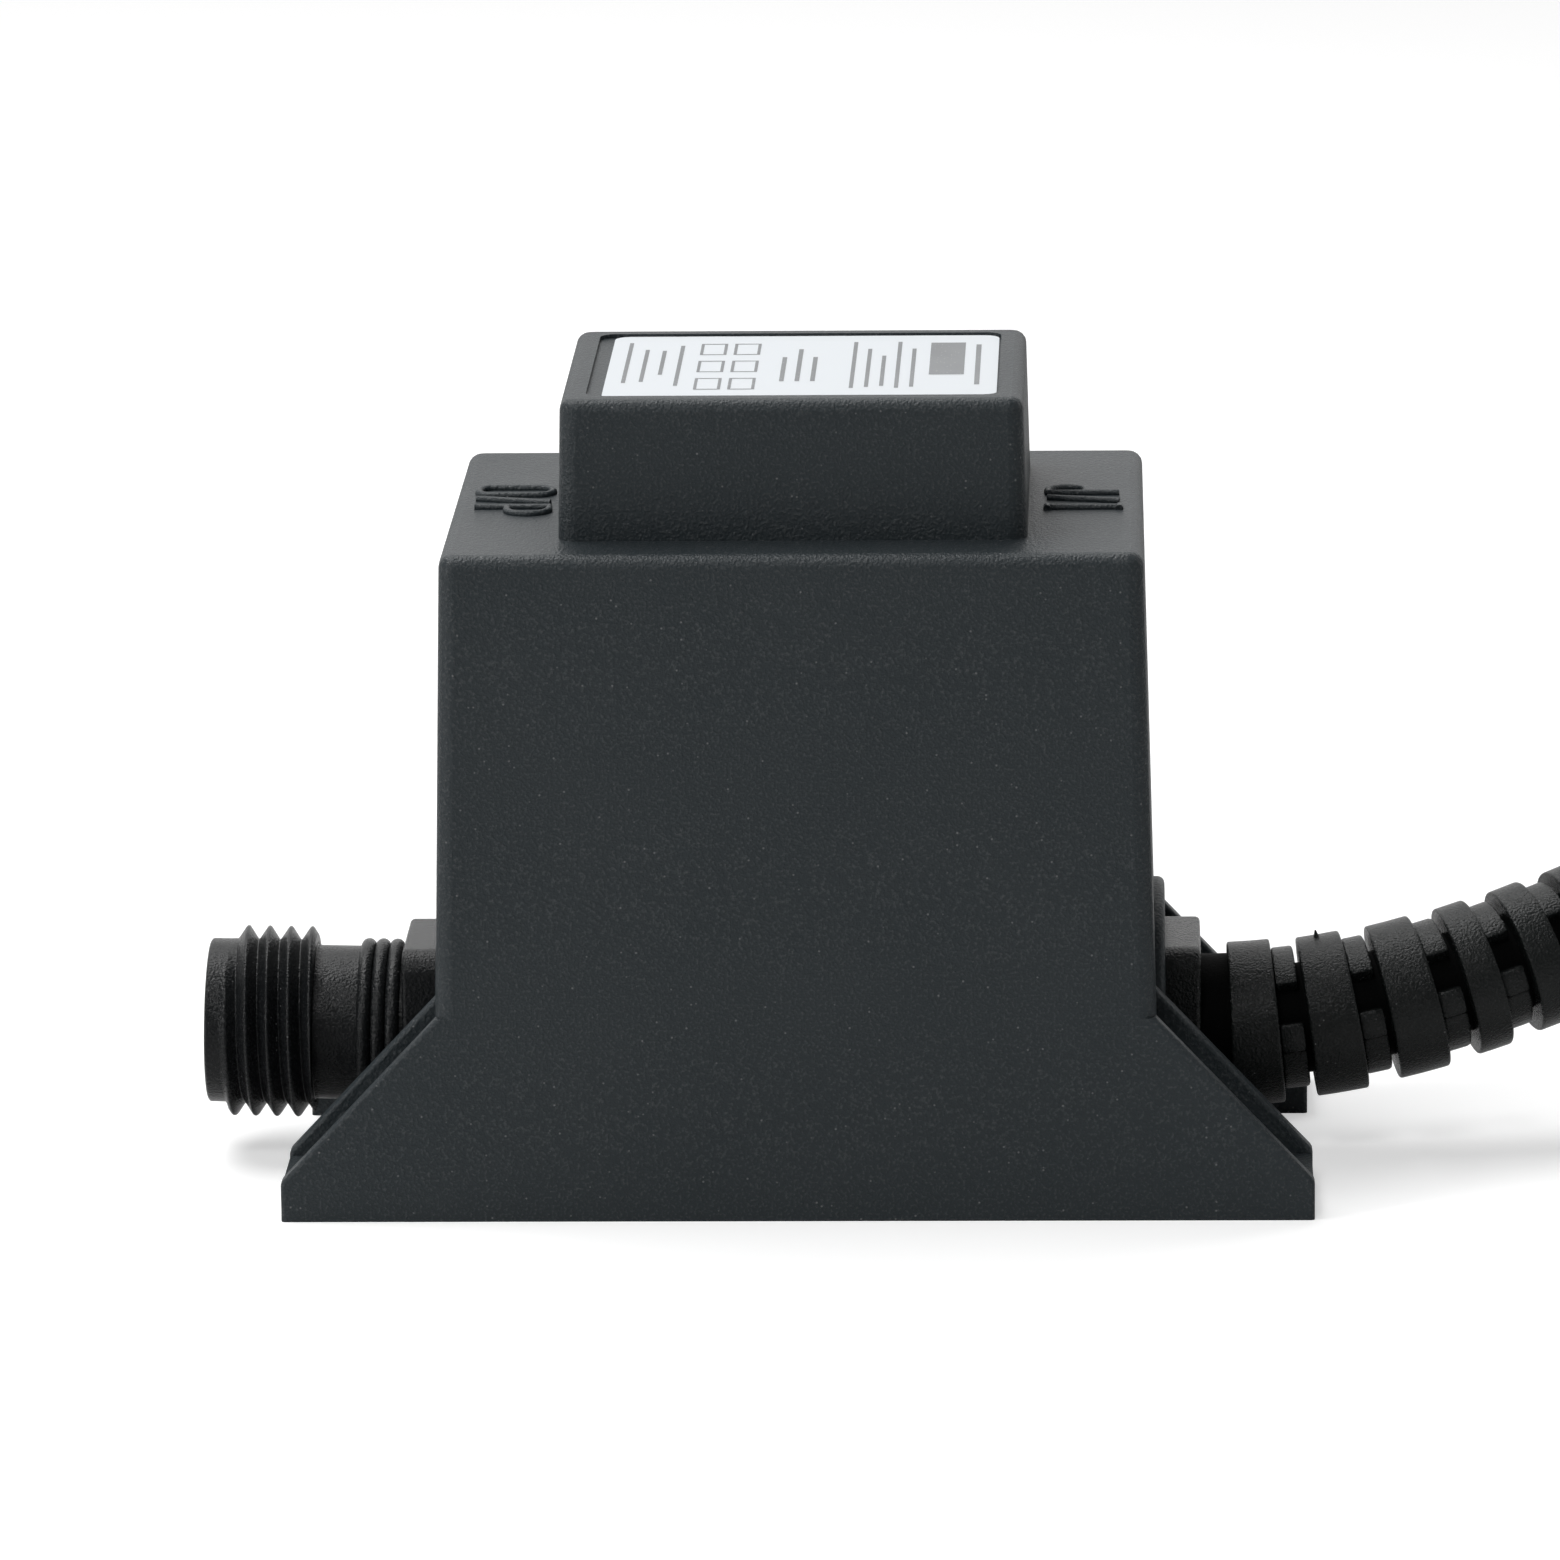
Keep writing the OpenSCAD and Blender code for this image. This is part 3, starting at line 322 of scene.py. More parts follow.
def combine(base, other, how):
    step = base.modifiers.new("join", "BOOLEAN")
    step.operation = how
    step.solver = "EXACT"
    step.object = other
    bpy.context.view_layer.update()
    baked = bpy.data.meshes.new_from_object(base.evaluated_get(bpy.context.evaluated_depsgraph_get()))
    base.modifiers.remove(step)
    base.data = baked
    bpy.data.objects.remove(other)


def smooth(made, degrees=32, weighted=True, largest=80):
    made.data.polygons.foreach_set("use_smooth", [True] * len(made.data.polygons))
    made.data.set_sharp_from_angle(angle=math.radians(degrees))
    if weighted:
        even = made.modifiers.new("even shading", "WEIGHTED_NORMAL")
        even.keep_sharp = True
    # Faces of more than so many square millimetres stay flat: smooth shading would lay a
    # false crease over a large face with many corners
    for face in made.data.polygons:
        if face.area > largest * mm * mm:
            face.use_smooth = False


def dress(made, name, finish, *stands_for):
    made.name = name
    made.data.name = name
    made.data.materials.clear()
    made.data.materials.append(finish)
    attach(made, "root")
    if stands_for:
        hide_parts(*stands_for)


body_foot, body_top, body_height = (70.5, 52), (67.29, 50.28), 65.6
head_foot, head_top, head_height = (45.18, 36.24), (44.43, 35.84), 79.3
corner_r, shoulder_edge_r, head_edge_r, head_sunk = 1.6, 1.2, 1.1, 1.6
face_lean = math.tan(math.radians(0.75))
housing = drafted_box(body_foot, body_top, 0, body_height)
round_edges(housing, corner_r, upright(5))
round_edges(housing, shoulder_edge_r, along_top(body_height))
head = drafted_box(head_foot, head_top, body_height - head_sunk, head_height)
round_edges(head, corner_r, upright(5))
round_edges(head, head_edge_r, along_top(head_height))
combine(housing, head, "UNION")

pad_r, pad_z, pad_root_x, pad_face_x, pad_edge_r = 12.2, 15.2, 32.5, 35.7, 0.7
ear_root_x, ear_end_x, ear_nose_r, flange_thick = 33, 50, 1, 3.5
gusset_top, gusset_thick, gusset_edge_r = (34.76, 20.1), 2, 0.4
outer_gusset_y, inner_gusset_y, flange_y = 26.0, 14.7, (13.5, 25.2)
hole_place, hole_r, hole_cut = (43, 19.35), 2.1, (-2, 6)
rim = [
    (pad_r * math.cos(math.radians(a)), pad_z + pad_r * math.sin(math.radians(a)))
    for a in range(0, 181, 5)
]
nose = [
    (ear_end_x - ear_nose_r + ear_nose_r * math.cos(math.radians(a)),
     flange_thick + ear_nose_r * math.sin(math.radians(a)))
    for a in (11, 22, 33, 43.6)
]
gusset = [(ear_root_x, 0), (ear_end_x, 0), (ear_end_x, flange_thick), *nose]
gusset += [gusset_top, (ear_root_x, gusset_top[1])]
flange = [
    (ear_root_x, 0), (ear_end_x - near, 0), (ear_end_x - near, flange_thick), (ear_root_x, flange_thick),
]
for sx in (-1, 1):
    pad = slab([(pad_r, 0), *rim, (-pad_r, 0)], 0, pad_face_x - pad_root_x)
    pad.data.transform(
        Matrix.Translation((pad_root_x * mm, 0, 0)) @ Matrix.Rotation(math.radians(90), 4, "Z")
        @ Matrix.Diagonal((1, -1, 1, 1))
    )
    round_edges(pad, pad_edge_r, lambda a, b: min(a.x, b.x) > pad_face_x - near and max(a.z, b.z) > near)
    if sx < 0:
        pad.data.transform(Matrix.Rotation(math.pi, 4, "Z"))
    combine(housing, pad, "UNION")
    for sy in (-1, 1):
        for y_out, lean in ((outer_gusset_y, -face_lean), (inner_gusset_y, 0)):
            outline = [(sx * x, z) for x, z in gusset]
            plate = slab(outline, sy * y_out, sy * (y_out - gusset_thick), sy * lean)
            round_edges(plate, gusset_edge_r, lambda a, b: (
                min(abs(a.x), abs(b.x)) > ear_root_x + 0.5 and max(a.z, b.z) > near and abs(a.y - b.y) < 1
            ))
            combine(housing, plate, "UNION")
        outline = [(sx * x, z) for x, z in flange]
        combine(housing, slab(outline, sy * flange_y[0], sy * flange_y[1]), "UNION")
        start, end = ((sx * hole_place[0], sy * hole_place[1], z) for z in hole_cut)
        combine(housing, rod(start, end, hole_r), "DIFFERENCE")

cavity_foot, cavity_top, cavity_z = (65.7, 47.2), (62.61, 45.54), (-0.01, 63.2)
head_cavity_foot, head_cavity_top, head_cavity_z = (40.3, 31.4), (39.7, 31.1), (63, 76.5)
recess_size, recess_floor, recess_corner_r, above_head = (39.63, 31.04), 78.9, 1.5, 82
outlet_z, outlet_bore_r, outlet_bore_x = 13.1, 7.0, (30, 35.6)
combine(housing, drafted_box(cavity_foot, cavity_top, *cavity_z), "DIFFERENCE")
combine(housing, drafted_box(head_cavity_foot, head_cavity_top, *head_cavity_z), "DIFFERENCE")
recess = drafted_box(recess_size, recess_size, recess_floor, above_head)
round_edges(recess, recess_corner_r, upright(2))
combine(housing, recess, "DIFFERENCE")
for sx in (-1, 1):
    start, end = ((sx * x, 0, outlet_z) for x in outlet_bore_x)
    combine(housing, rod(start, end, outlet_bore_r), "DIFFERENCE")
smooth(housing)
# Its grain tone sets how pale the painted glints on the grain are
shell = moulded(
    "grained housing", colour=(0.0166, 0.023, 0.0265), pale=(0.3, 0.3, 0.3), rough=0.42,
    relief=0.00014, gloss=0.3, cloud=0.02, specks=0.35, speck_density=0.04,
    grains_per_metre=3500.0, roughness_change=0.1, grain_tone=0.13,
)
dress(housing, "housing_shell", shell, "housing")

# Function marks: strokes 0.8 mm wide with round tops, moulded with the shoulders. The
# word on the left means output and the word on the right input.
stroke_r, stroke_z = 0.39, 65.72
output_half, input_half, output_x, input_x = 3.65, 3.5, -27.8, 27.87


def curved_stroke(left, right, low, high, start, end, steps=12):
    points = []
    for k in range(steps + 1):
        t = math.radians(start + (end - start) * k / steps)
        across = (left + right) / 2 + (right - left) / 2 * math.cos(t)
        points.append((across, (low + high) / 2 + (high - low) / 2 * math.sin(t)))
    return points


def letter_p(stem, half, bowl, bowl_foot, flat):
    bend = curved_stroke(*bowl, bowl_foot, half, 80, -80)
    foot = [(stem + flat - 0.2, bowl_foot), (stem + 0.05, bowl_foot)]
    return [(stem, -half), (stem, half), (stem + flat, half), *bend, *foot]


def raised_word(name, strokes, x, up):
    word = bpy.data.curves.new(name, "CURVE")
    word.dimensions = "3D"
    word.bevel_depth = stroke_r * mm
    word.bevel_resolution = 4
    word.use_fill_caps = True
    for points, closed in strokes:
        run = word.splines.new("POLY")
        run.points.add(len(points) - 1)
        run.use_cyclic_u = closed
        for knot, (a, h) in zip(run.points, points):
            knot.co = ((x + up * h) * mm, -up * a * mm, stroke_z * mm, 1)
    drawn = bpy.data.objects.new(name, word)
    scene.collection.objects.link(drawn)
    bpy.context.view_layer.update()
    mesh = bpy.data.meshes.new_from_object(drawn.evaluated_get(bpy.context.evaluated_depsgraph_get()))
    bpy.data.objects.remove(drawn)
    marks = bpy.data.objects.new(name, mesh)
    scene.collection.objects.link(marks)
    smooth(marks, 50, weighted=False)
    dress(marks, name, shell)


letter_o = curved_stroke(-6.15, -2.65, 0.9, output_half, 0, 180)
letter_o += curved_stroke(-6.15, -2.65, -output_half, -0.9, 180, 360)
raised_word("output_mark", [
    (letter_o, True),
    ([(-0.99, -output_half), (0.96, output_half)], False),
    (letter_p(2.9, output_half, (2.3, 6.1), -0.45, 1.3), False),
], output_x, 1)
raised_word("input_mark", [
    ([(-4.05, -input_half), (-4.05, input_half)], False),
    ([(-4.6, -input_half), (-3.5, -input_half)], False),
    ([(-4.6, input_half), (-3.5, input_half)], False),
    ([(-1.15, -input_half), (0.4, input_half)], False),
    (letter_p(2.6, input_half, (2.0, 5.3), -0.2, 1.0), False),
], input_x, -1)

# Rating label: a matte printed film stuck into the recess of the head. Its print is only
# grey rules, empty boxes and a block where the real one has its ratings.
label_size, label_thick, label_corner_r, label_x, ink_rise = (37.93, 30.64), 0.15, 1.5, 0.65, 0.02
label_top = recess_floor + label_thick
film = moulded(
    "label film", colour=(0.7, 0.735, 0.765), pale=(0.8, 0.8, 0.82), rough=0.5,
    relief=0.000004, gloss=0.4, cloud=0.2, specks=0.2, speck_density=0.03,
    grains_per_metre=2500.0, roughness_change=0.1,
)
label = drafted_box(label_size, label_size, recess_floor, label_top)
label.data.transform(Matrix.Translation((label_x * mm, 0, 0)))
round_edges(label, label_corner_r, upright(near))
smooth(label)
dress(label, "label_film", film, "rating_label")
ink = moulded(
    "label ink", colour=(0.12, 0.125, 0.13), pale=(0.7, 0.72, 0.74), rough=0.5,
    relief=0.000004, gloss=0.4, cloud=0.3, specks=0.3, speck_density=0.2,
    grains_per_metre=5000.0, roughness_change=0.1,
)
# Each printed field is its middle along and across the head, its width and its length
printed = [(-17.2 + 1.7 * k, 2.0 - 1.5 * (k % 2), 0.4, 20 - 4 * (k % 3)) for k in range(4)]
box_half_width, box_half_length, box_line = 1.15, 2.65, 0.3
for column in range(2):
    for row in range(3):
        x, y = -9.0 + 3.3 * column, 8.6 - 8.6 * row
        printed += [(x + sx * box_half_width, y, box_line, 5.6) for sx in (-1, 1)]
        printed += [(x, y + sy * box_half_length, 2.0, box_line) for sy in (-1, 1)]
printed += [(-1.9 + 1.5 * k, -1.5 + 2 * (k % 2), 0.45, 12 + 4 * (k % 2)) for k in range(3)]
printed += [(4.9 + 1.45 * k, 0.5 - 1.5 * (k % 3), 0.4, 23 - 4 * (k % 3)) for k in range(5)]
printed += [(14.0, 3.5, 3.4, 16), (17.0, 0.5, 0.5, 20)]
points = [
    (label_x + x + sx * w / 2, y + sy * length / 2, label_top + ink_rise)
    for x, y, w, length in printed for sx, sy in corners
]
label_print = solid_from(points, [tuple(range(4 * i, 4 * i + 4)) for i in range(len(printed))])
dress(label_print, "label_print", ink)


# Output socket: a moulded bush with a square collar, three seal ribs and a right-handed
# outside thread for the union nut of the low voltage lead. Its nose is plain.
def eased_corners(points, radius, steps):
    eased = [points[0]]
    for before, corner, after in zip(points, points[1:], points[2:]):
        before, corner, after = Vector(before), Vector(corner), Vector(after)
        a = corner + (before - corner) * min(radius / (before - corner).length, 0.5)
        b = corner + (after - corner) * min(radius / (after - corner).length, 0.5)
        for k in range(steps + 1):
            t = k / steps
            eased.append(tuple(a * (1 - t) ** 2 + corner * 2 * t * (1 - t) + b * t * t))
    return eased + [points[-1]]


def turned(profile, sides=96):
    # A closed profile of places along the axis and radii, turned round the axis
    points, faces = [], []
    for x, r in profile:
        for k in range(sides):
            a = 2 * math.pi * k / sides
            points.append((x, r * math.cos(a), r * math.sin(a)))
    for i in range(len(profile)):
        a, b = i * sides, (i + 1) % len(profile) * sides
        for k in range(sides):
            n = (k + 1) % sides
            faces.append((a + k, a + n, b + n, b + k))
    return solid_from(points, faces)


def on_axis(made):
    made.data.transform(Matrix.Translation((0, 0, outlet_z * mm)))
    return made


def joined(pieces):
    bm = bmesh.new()
    for piece in pieces:
        bm.from_mesh(piece.data)
    mesh = bpy.data.meshes.new("joined")
    bm.to_mesh(mesh)
    bm.free()
    for piece in pieces:
        bpy.data.objects.remove(piece)
    made = bpy.data.objects.new("joined", mesh)
    scene.collection.objects.link(made)
    return made


def collar():
    size, thick, collar_corner_r, collar_edge_r = (18, 16.4), 3.5, 2.4, 0.45
    square = drafted_box(size, size, 0, thick)
    round_edges(square, collar_corner_r, upright(2), 6)
    round_edges(square, collar_edge_r, along_top(thick), 3)
    square.data.transform(
        Matrix.Translation((pad_face_x * mm, 0, outlet_z * mm)) @ Matrix.Rotation(math.radians(90), 4, "Y")
    )
    return square


rib_x, rib_step, rib_r, bead_r = 40.35, 1.4, 7.65, 0.72
bore_r, mouth_r, neck_r, barrel_r = 5.5, 6.0, 7.6, 8.1
shoulder_x, nose_x, socket_end_x = 48.2, 56.7, 58.8
pieces = []
for k in range(3):
    x = rib_x + rib_step * k
    bead = [
        (x + bead_r * math.cos(math.radians(a)), rib_r + bead_r * math.sin(math.radians(a)))
        for a in range(0, 360, 20)
    ]
    pieces.append(on_axis(turned(bead)))
# Outside from the collar to the nose, then back inside along the bore
tube = [
    (39, 7.5), (44, neck_r), (shoulder_x, neck_r), (shoulder_x, barrel_r), (nose_x, barrel_r),
    (56.95, barrel_r), (58.6, barrel_r), (socket_end_x, 7.85), (socket_end_x, mouth_r),
    (47.2, mouth_r), (47.2, bore_r), (27.5, bore_r), (27.5, 6.9), (39, 6.9),
]
pieces.append(on_axis(turned(eased_corners(tube, 0.12, 3))))

pitch, ridge_x, ridge_angle, ridge_height = 2.1, 51.98, 76.5, 1.36
crest_half, crest_top_share, crest_curve = 0.25, 0.972, 2.22
flank_end, flank_run, fade_end_x, fade_length = 1.0, 0.9, 57.15, 0.9


def ridge(x, a):
    # The height share of one right-handed ridge: its crest is rounded, it rises out of
    # the nose over half a turn, and the shoulder at the neck cuts it off square
    along = x - ridge_x - pitch * (a + ridge_angle) / 360
    turn = round(along / pitch)
    off = abs(along - pitch * turn)
    flank = max(0, (flank_end - off) / flank_run)
    height = crest_top_share - crest_curve * off * off if off < crest_half else flank
    centre = ridge_x + pitch * (turn + (a + ridge_angle) / 360)
    return height * min(1, max(0, (fade_end_x - centre) / fade_length))


points = []
thread_end_x, thread_root_r, sides, rings = 57.4, 8.12, 144, 184
under_barrel_r, least_nose_r, nose_drop = 7.55, 7.9, 0.25
for i in range(-1, rings + 1):
    x = shoulder_x + (thread_end_x - shoulder_x) * max(i, 0) / rings
    for k in range(sides):
        a = 360 * k / sides
        r = under_barrel_r if i < 0 else thread_root_r + ridge_height * ridge(x, (a + 180) % 360 - 180)
        if x > nose_x:
            r = max(least_nose_r, r - nose_drop)
        points.append((x, r * math.cos(math.radians(a)), r * math.sin(math.radians(a))))
pieces.append(on_axis(solid_from(points, skin_over(rings + 2, sides))))
outer = joined(pieces)

# The bush hangs a little in its collar
hang_x, hang_z, hang_degrees = 40, 13, 1.25
outer.data.transform(
    Matrix.Translation((hang_x * mm, 0, hang_z * mm))
    @ Matrix.Rotation(math.radians(-hang_degrees), 4, "Y")
    @ Matrix.Translation((-hang_x * mm, 0, -outlet_z * mm))
)
socket = joined([collar(), outer])
socket.data.transform(Matrix.Rotation(math.pi, 4, "Z"))
smooth(socket, 35)
# Its grain tone sets how pale the painted glints on the grain are
satin = moulded(
    "satin black moulding", colour=(0.004, 0.0048, 0.0054), pale=(0.3, 0.3, 0.3), rough=0.22,
    relief=0.00011, gloss=0.2, cloud=0.02, specks=0.3, speck_density=0.03,
    grains_per_metre=4200.0, roughness_change=0.12, grain_tone=0.05,
)
dress(socket, "output_socket_body", satin, "output_socket")

# Bend relief of the mains lead: a soft moulding with a square collar, a smooth neck and
# eight rings that get smaller, tied by four bars in each gap. It rises, swings to the
# rear and comes level, on a chain of five equal arcs.
bend_r, arc_length, first_lean, lean_step = 76.0, 10.66, 17, 23.5
relief_start = Vector((39.2, 0, 12.65))


def further(start, lean, length):
    # A place and its three directions, moved on by a length along an arc whose plane
    # leans to the rear by so many degrees
    at, ahead, up, back = start
    a, lean = length / bend_r, math.radians(lean)
    inward = math.cos(lean) * up + math.sin(lean) * back
    across = math.cos(lean) * back - math.sin(lean) * up
    turned_in = math.cos(a) * inward - math.sin(a) * ahead
    return (
        at + bend_r * (math.sin(a) * ahead + (1 - math.cos(a)) * inward),
        math.cos(a) * ahead + math.sin(a) * inward,
        math.cos(lean) * turned_in - math.sin(lean) * across,
        math.sin(lean) * turned_in + math.cos(lean) * across,
    )


arcs = [(relief_start, Vector((1, 0, 0)), Vector((0, 0, 1)), Vector((0, 1, 0)))]
for k in range(4):
    arcs.append(further(arcs[k], first_lean + lean_step * k, arc_length))


def on_bend(s):
    k = max(0, min(4, int(s // arc_length)))
    return further(arcs[k], first_lean + lean_step * k, s - k * arc_length)


def bent(made):
    stations = {}
    for vertex in made.data.vertices:
        s, y, z = vertex.co * per_metre
        key = round(s, 3)
        if key not in stations:
            stations[key] = on_bend(s)
        at, ahead, up, back = stations[key]
        vertex.co = (at + y * back + z * up) * mm
    return made


def bar(middle, half, outer, inner, s0, s1, arc_steps=12):
    # One bar of a gap: a block of a ring with rounded outer edges, reaching half an angle
    # to each side of its middle
    points = []
    ease, part = 0.28, 0.3
    insets = (
        (s0, ease), (s0 + part * ease, part * ease), (s0 + ease, 0),
        (s1 - ease, 0), (s1 - part * ease, part * ease), (s1, ease),
    )
    for s, inset in insets:
        r = outer - inset
        reach = math.radians(half) - inset / outer
        soft = ease / outer
        outline = [(inner, -reach), (r - ease, -reach), (r - part * ease, -reach + part * soft)]
        step = (2 * reach - 2 * soft) / arc_steps
        outline += [(r, -reach + soft + step * k) for k in range(arc_steps + 1)]
        outline += [(r - part * ease, reach - part * soft), (r - ease, reach), (inner, reach)]
        for q, a in outline:
            a += math.radians(middle)
            points.append((s, q * math.cos(a), q * math.sin(a)))
    return solid_from(points, skin_over(6, len(outline)) + lids(6, len(outline)))


def in_shade(made):
    # Its faces take the second material of the boot, a darker rubber with painted shade
    made.data.polygons.foreach_set("material_index", [1] * len(made.data.polygons))
    return made


lead_bore_r, boot_neck_r, ring_edge_r = 3.85, 7.0, 0.28
ring_count, wide_count, ring_r, ring_shrink = 8, 3, 8.1, 0.2
wide_ring, narrow_ring, gap, gap_depth, bar_start, bar_end, bar_sunk = 4.7, 3.2, 2.9, 2.65, 0.05, 2.4, 0.3
# Where a bar stands, how far it reaches to each side and how deep its top lies
gap_bars = ((90, 46, 0.9), (181, 12, 0.9), (-1, 12, 0.9), (270, 76, 1.3))
neck = [(-0.5, 3.9), (-0.5, boot_neck_r), (1.5, boot_neck_r), (3.1, boot_neck_r), (3.1, 3.9)]
pieces = [collar(), in_shade(bent(turned(neck)))]
s = gap
for i in range(ring_count):
    width = wide_ring if i < wide_count else narrow_ring
    r = ring_r - ring_shrink * i
    ring = [(s, lead_bore_r), (s, r), (s + width / 2, r), (s + width, r), (s + width, lead_bore_r)]
    pieces.append(bent(turned(eased_corners(ring, ring_edge_r, 4))))
    s += width
    if i < ring_count - 1:
        floor = r - gap_depth
        sleeve = [
            (s - 0.2, lead_bore_r), (s - 0.2, floor), (s + 1.5, floor),
            (s + 3.1, floor), (s + 3.1, lead_bore_r),
        ]
        pieces.append(in_shade(bent(turned(sleeve))))
        for stands, reach, low in gap_bars:
            pieces.append(bent(bar(stands, reach, r - low, floor - bar_sunk, s + bar_start, s + bar_end)))
        s += gap
gate_s, gate_foot, gate_tip, gate_r, gate_tip_r = 12.7, 7.6, 8.6, 0.4, 0.08
pieces.append(bent(rod((gate_s, 0, gate_foot), (gate_s, 0, gate_tip), gate_r, 20, gate_tip_r)))
boot = joined(pieces)
smooth(boot, 35)
# Its grain tone sets how pale the painted glints on the grain are
rubber = moulded(
    "boot rubber", colour=(0.0042, 0.0055, 0.0053), pale=(0.25, 0.25, 0.25), rough=0.24,
    relief=0.00013, gloss=0.2, cloud=0.02, specks=0.3, speck_density=0.03,
    grains_per_metre=4200.0, roughness_change=0.14, grain_tone=0.05,
)
# Painted shade: a darker, duller copy of the rubber for the gap floors and the neck, where the rings and
# the collar keep the light off
painted_shade_rubber = moulded(
    "boot rubber with painted shade", colour=(0.002, 0.0022, 0.0022), pale=(0.03, 0.03, 0.03), rough=0.6,
    relief=0.00004, gloss=0.02, cloud=0.02, specks=0.1, speck_density=0.05,
    grains_per_metre=3400.0, roughness_change=0.14,
)
# Clearing the materials sets every face to the first, so each face's number is kept
shade = [face.material_index for face in boot.data.polygons]
dress(boot, "bend_relief_boot", rubber, "strain_relief_boot")
boot.data.materials.append(painted_shade_rubber)
boot.data.polygons.foreach_set("material_index", shade)


# Mains lead: nearly two metres of round rubber-sheathed flex. It falls from the relief to
# the floor, is wound in a coil of seven loops in four layers and ends in the plug.
def curve_through(controls, spacing=1.6):
    points = [Vector(p) for p in controls]
    ends = [points[0] * 2 - points[1], *points, points[-1] * 2 - points[-2]]
    line = []
    for p0, p1, p2, p3 in zip(ends, ends[1:], ends[2:], ends[3:]):
        steps = max(2, round((p2 - p1).length / spacing))
        for k in range(steps):
            t = k / steps
            line.append(
                0.5 * (2 * p1 + (p2 - p0) * t + (2 * p0 - 5 * p1 + 4 * p2 - p3) * t * t
                       + (3 * p1 - p0 - 3 * p2 + p3) * t ** 3)
            )
    return line + [points[-1]]


relief_length, lead_r, loop_count, steps_a_loop = 53.3, 3.5, 7, 96
coil_x, coil_y, coil_r, coil_z = 190, 32, 45, 4.25
loops_a_layer, loop_step, layer_step = 1.75, 7.5, 7.45


def coil_point(u):
    # After u loops: the lead winds inwards in one layer and outwards in the next, and
    # climbs to each new layer within half a loop
    wound = u % (2 * loops_a_layer)
    wound_in = wound if wound < loops_a_layer else 2 * loops_a_layer - wound
    r = coil_r - loop_step * wound_in
    a = math.radians(-90 + 360 * u)
    z = coil_z
    for k in (1, 2, 3):
        t = min(1, max(0, (u - loops_a_layer * k + 0.25) / 0.5))
        z += layer_step * t * t * (3 - 2 * t)
    return Vector((coil_x + r * math.cos(a), coil_y + r * math.sin(a), z))


mouth, lead_out = on_bend(relief_length)[:2]
first = [mouth + lead_out * k for k in (0, 3.5, 7)] + [
    (101, 18, 27), (108, 20.3, 26.8), (115, 21, 25.4), (121.5, 20.2, 22.8), (127.5, 17.8, 19.4),
    (133.5, 14, 15.6), (139.5, 9.2, 12), (146, 3.7, 8.9), (153, -1.9, 6.6), (160, -6.8, 5.2),
    (167, -10.4, 4.5), (174, -12.5, 4.3), (183, -13, 4.25), (190, -13, 4.25),
]
loops = [coil_point(i / steps_a_loop) for i in range(loop_count * steps_a_loop + 1)]
last = [loops[-1]] + [
    (197, loops[-1].y, loops[-1].z), (209, -9, 28), (219, -2.5, 30), (227, 6.5, 32),
    (232.5, 16, 34), (235, 27, 36), (234.5, 38, 37), (230, 48, 37.5), (222.5, 55.5, 37.5),
    (213, 59.5, 37.5), (207, 60, 37.1), (200, 60, 37.1),
]
line = curve_through(first)[:-1] + loops[:-1] + curve_through(last)
flex = bpy.data.curves.new("mains lead", "CURVE")
flex.dimensions = "3D"
flex.bevel_depth = lead_r * mm
flex.bevel_resolution = 6
flex.use_fill_caps = True
run = flex.splines.new("POLY")
run.points.add(len(line) - 1)
for knot, at in zip(run.points, line):
    knot.co = (*(at * mm), 1)
lead = bpy.data.objects.new("mains_lead_flex", flex)
scene.collection.objects.link(lead)
sheath = moulded(
    "lead sheath", colour=(0.007, 0.007, 0.0075), pale=(0.12, 0.12, 0.12), rough=0.5,
    relief=0.00002, gloss=0.35, cloud=0.12, specks=0.3, speck_density=0.06,
    grains_per_metre=1500.0, roughness_change=0.2,
)
flex.materials.append(sheath)
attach(lead, "root")
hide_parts("mains_lead", "mains_lead_coil", "mains_lead_end")

# Tie round the coil: a soft reusable strap of black plastic, wrapped round the loops on
# the side of the housing and closed with a small buckle and a tongue on its outer side.
strap_in, strap_out, strap_foot, strap_crown = 27.5, 49.4, 0.05, 31.0
strap_width, strap_bend_r, strap_thick, strap_edge_r = 12, 4.2, 0.7, 0.2
bends = []
for sx, sz, start in ((1, 1, 0), (-1, 1, 90), (-1, -1, 180), (1, -1, 270)):
    cx = (strap_in + strap_out) / 2 + sx * ((strap_out - strap_in) / 2 - strap_bend_r)
    cz = (strap_foot + strap_crown) / 2 + sz * ((strap_crown - strap_foot) / 2 - strap_bend_r)
    for k in range(9):
        a = math.radians(start + 90 * k / 8)
        bends.append((cx, cz, math.cos(a), math.sin(a)))
# Four rings of points: the outer and the inner face at each edge of the strap
points, faces = [], []
n = len(bends)
for y in (-strap_width / 2, strap_width / 2):
    for r in (strap_bend_r, strap_bend_r - strap_thick):
        points += [(coil_x - (cx + r * c), coil_y + y, cz + r * d) for cx, cz, c, d in bends]
for k in range(n):
    j = (k + 1) % n
    faces += [
        (k, j, n + j, n + k), (2 * n + k, 3 * n + k, 3 * n + j, 2 * n + j),
        (k, 2 * n + k, 2 * n + j, j), (n + k, n + j, 3 * n + j, 3 * n + k),
    ]
strap = solid_from(points, faces)
round_edges(strap, strap_edge_r, lambda a, b: abs(a.y - b.y) < 0.01 and (a - b).length > 0.9, 2)


def flat_block(x0, x1, z0, z1, half_width, edge_r, steps):
    block = slab([(x0, z0), (x1, z0), (x1, z1), (x0, z1)], coil_y - half_width, coil_y + half_width)
    round_edges(block, edge_r, lambda a, b: True, steps)
    return block


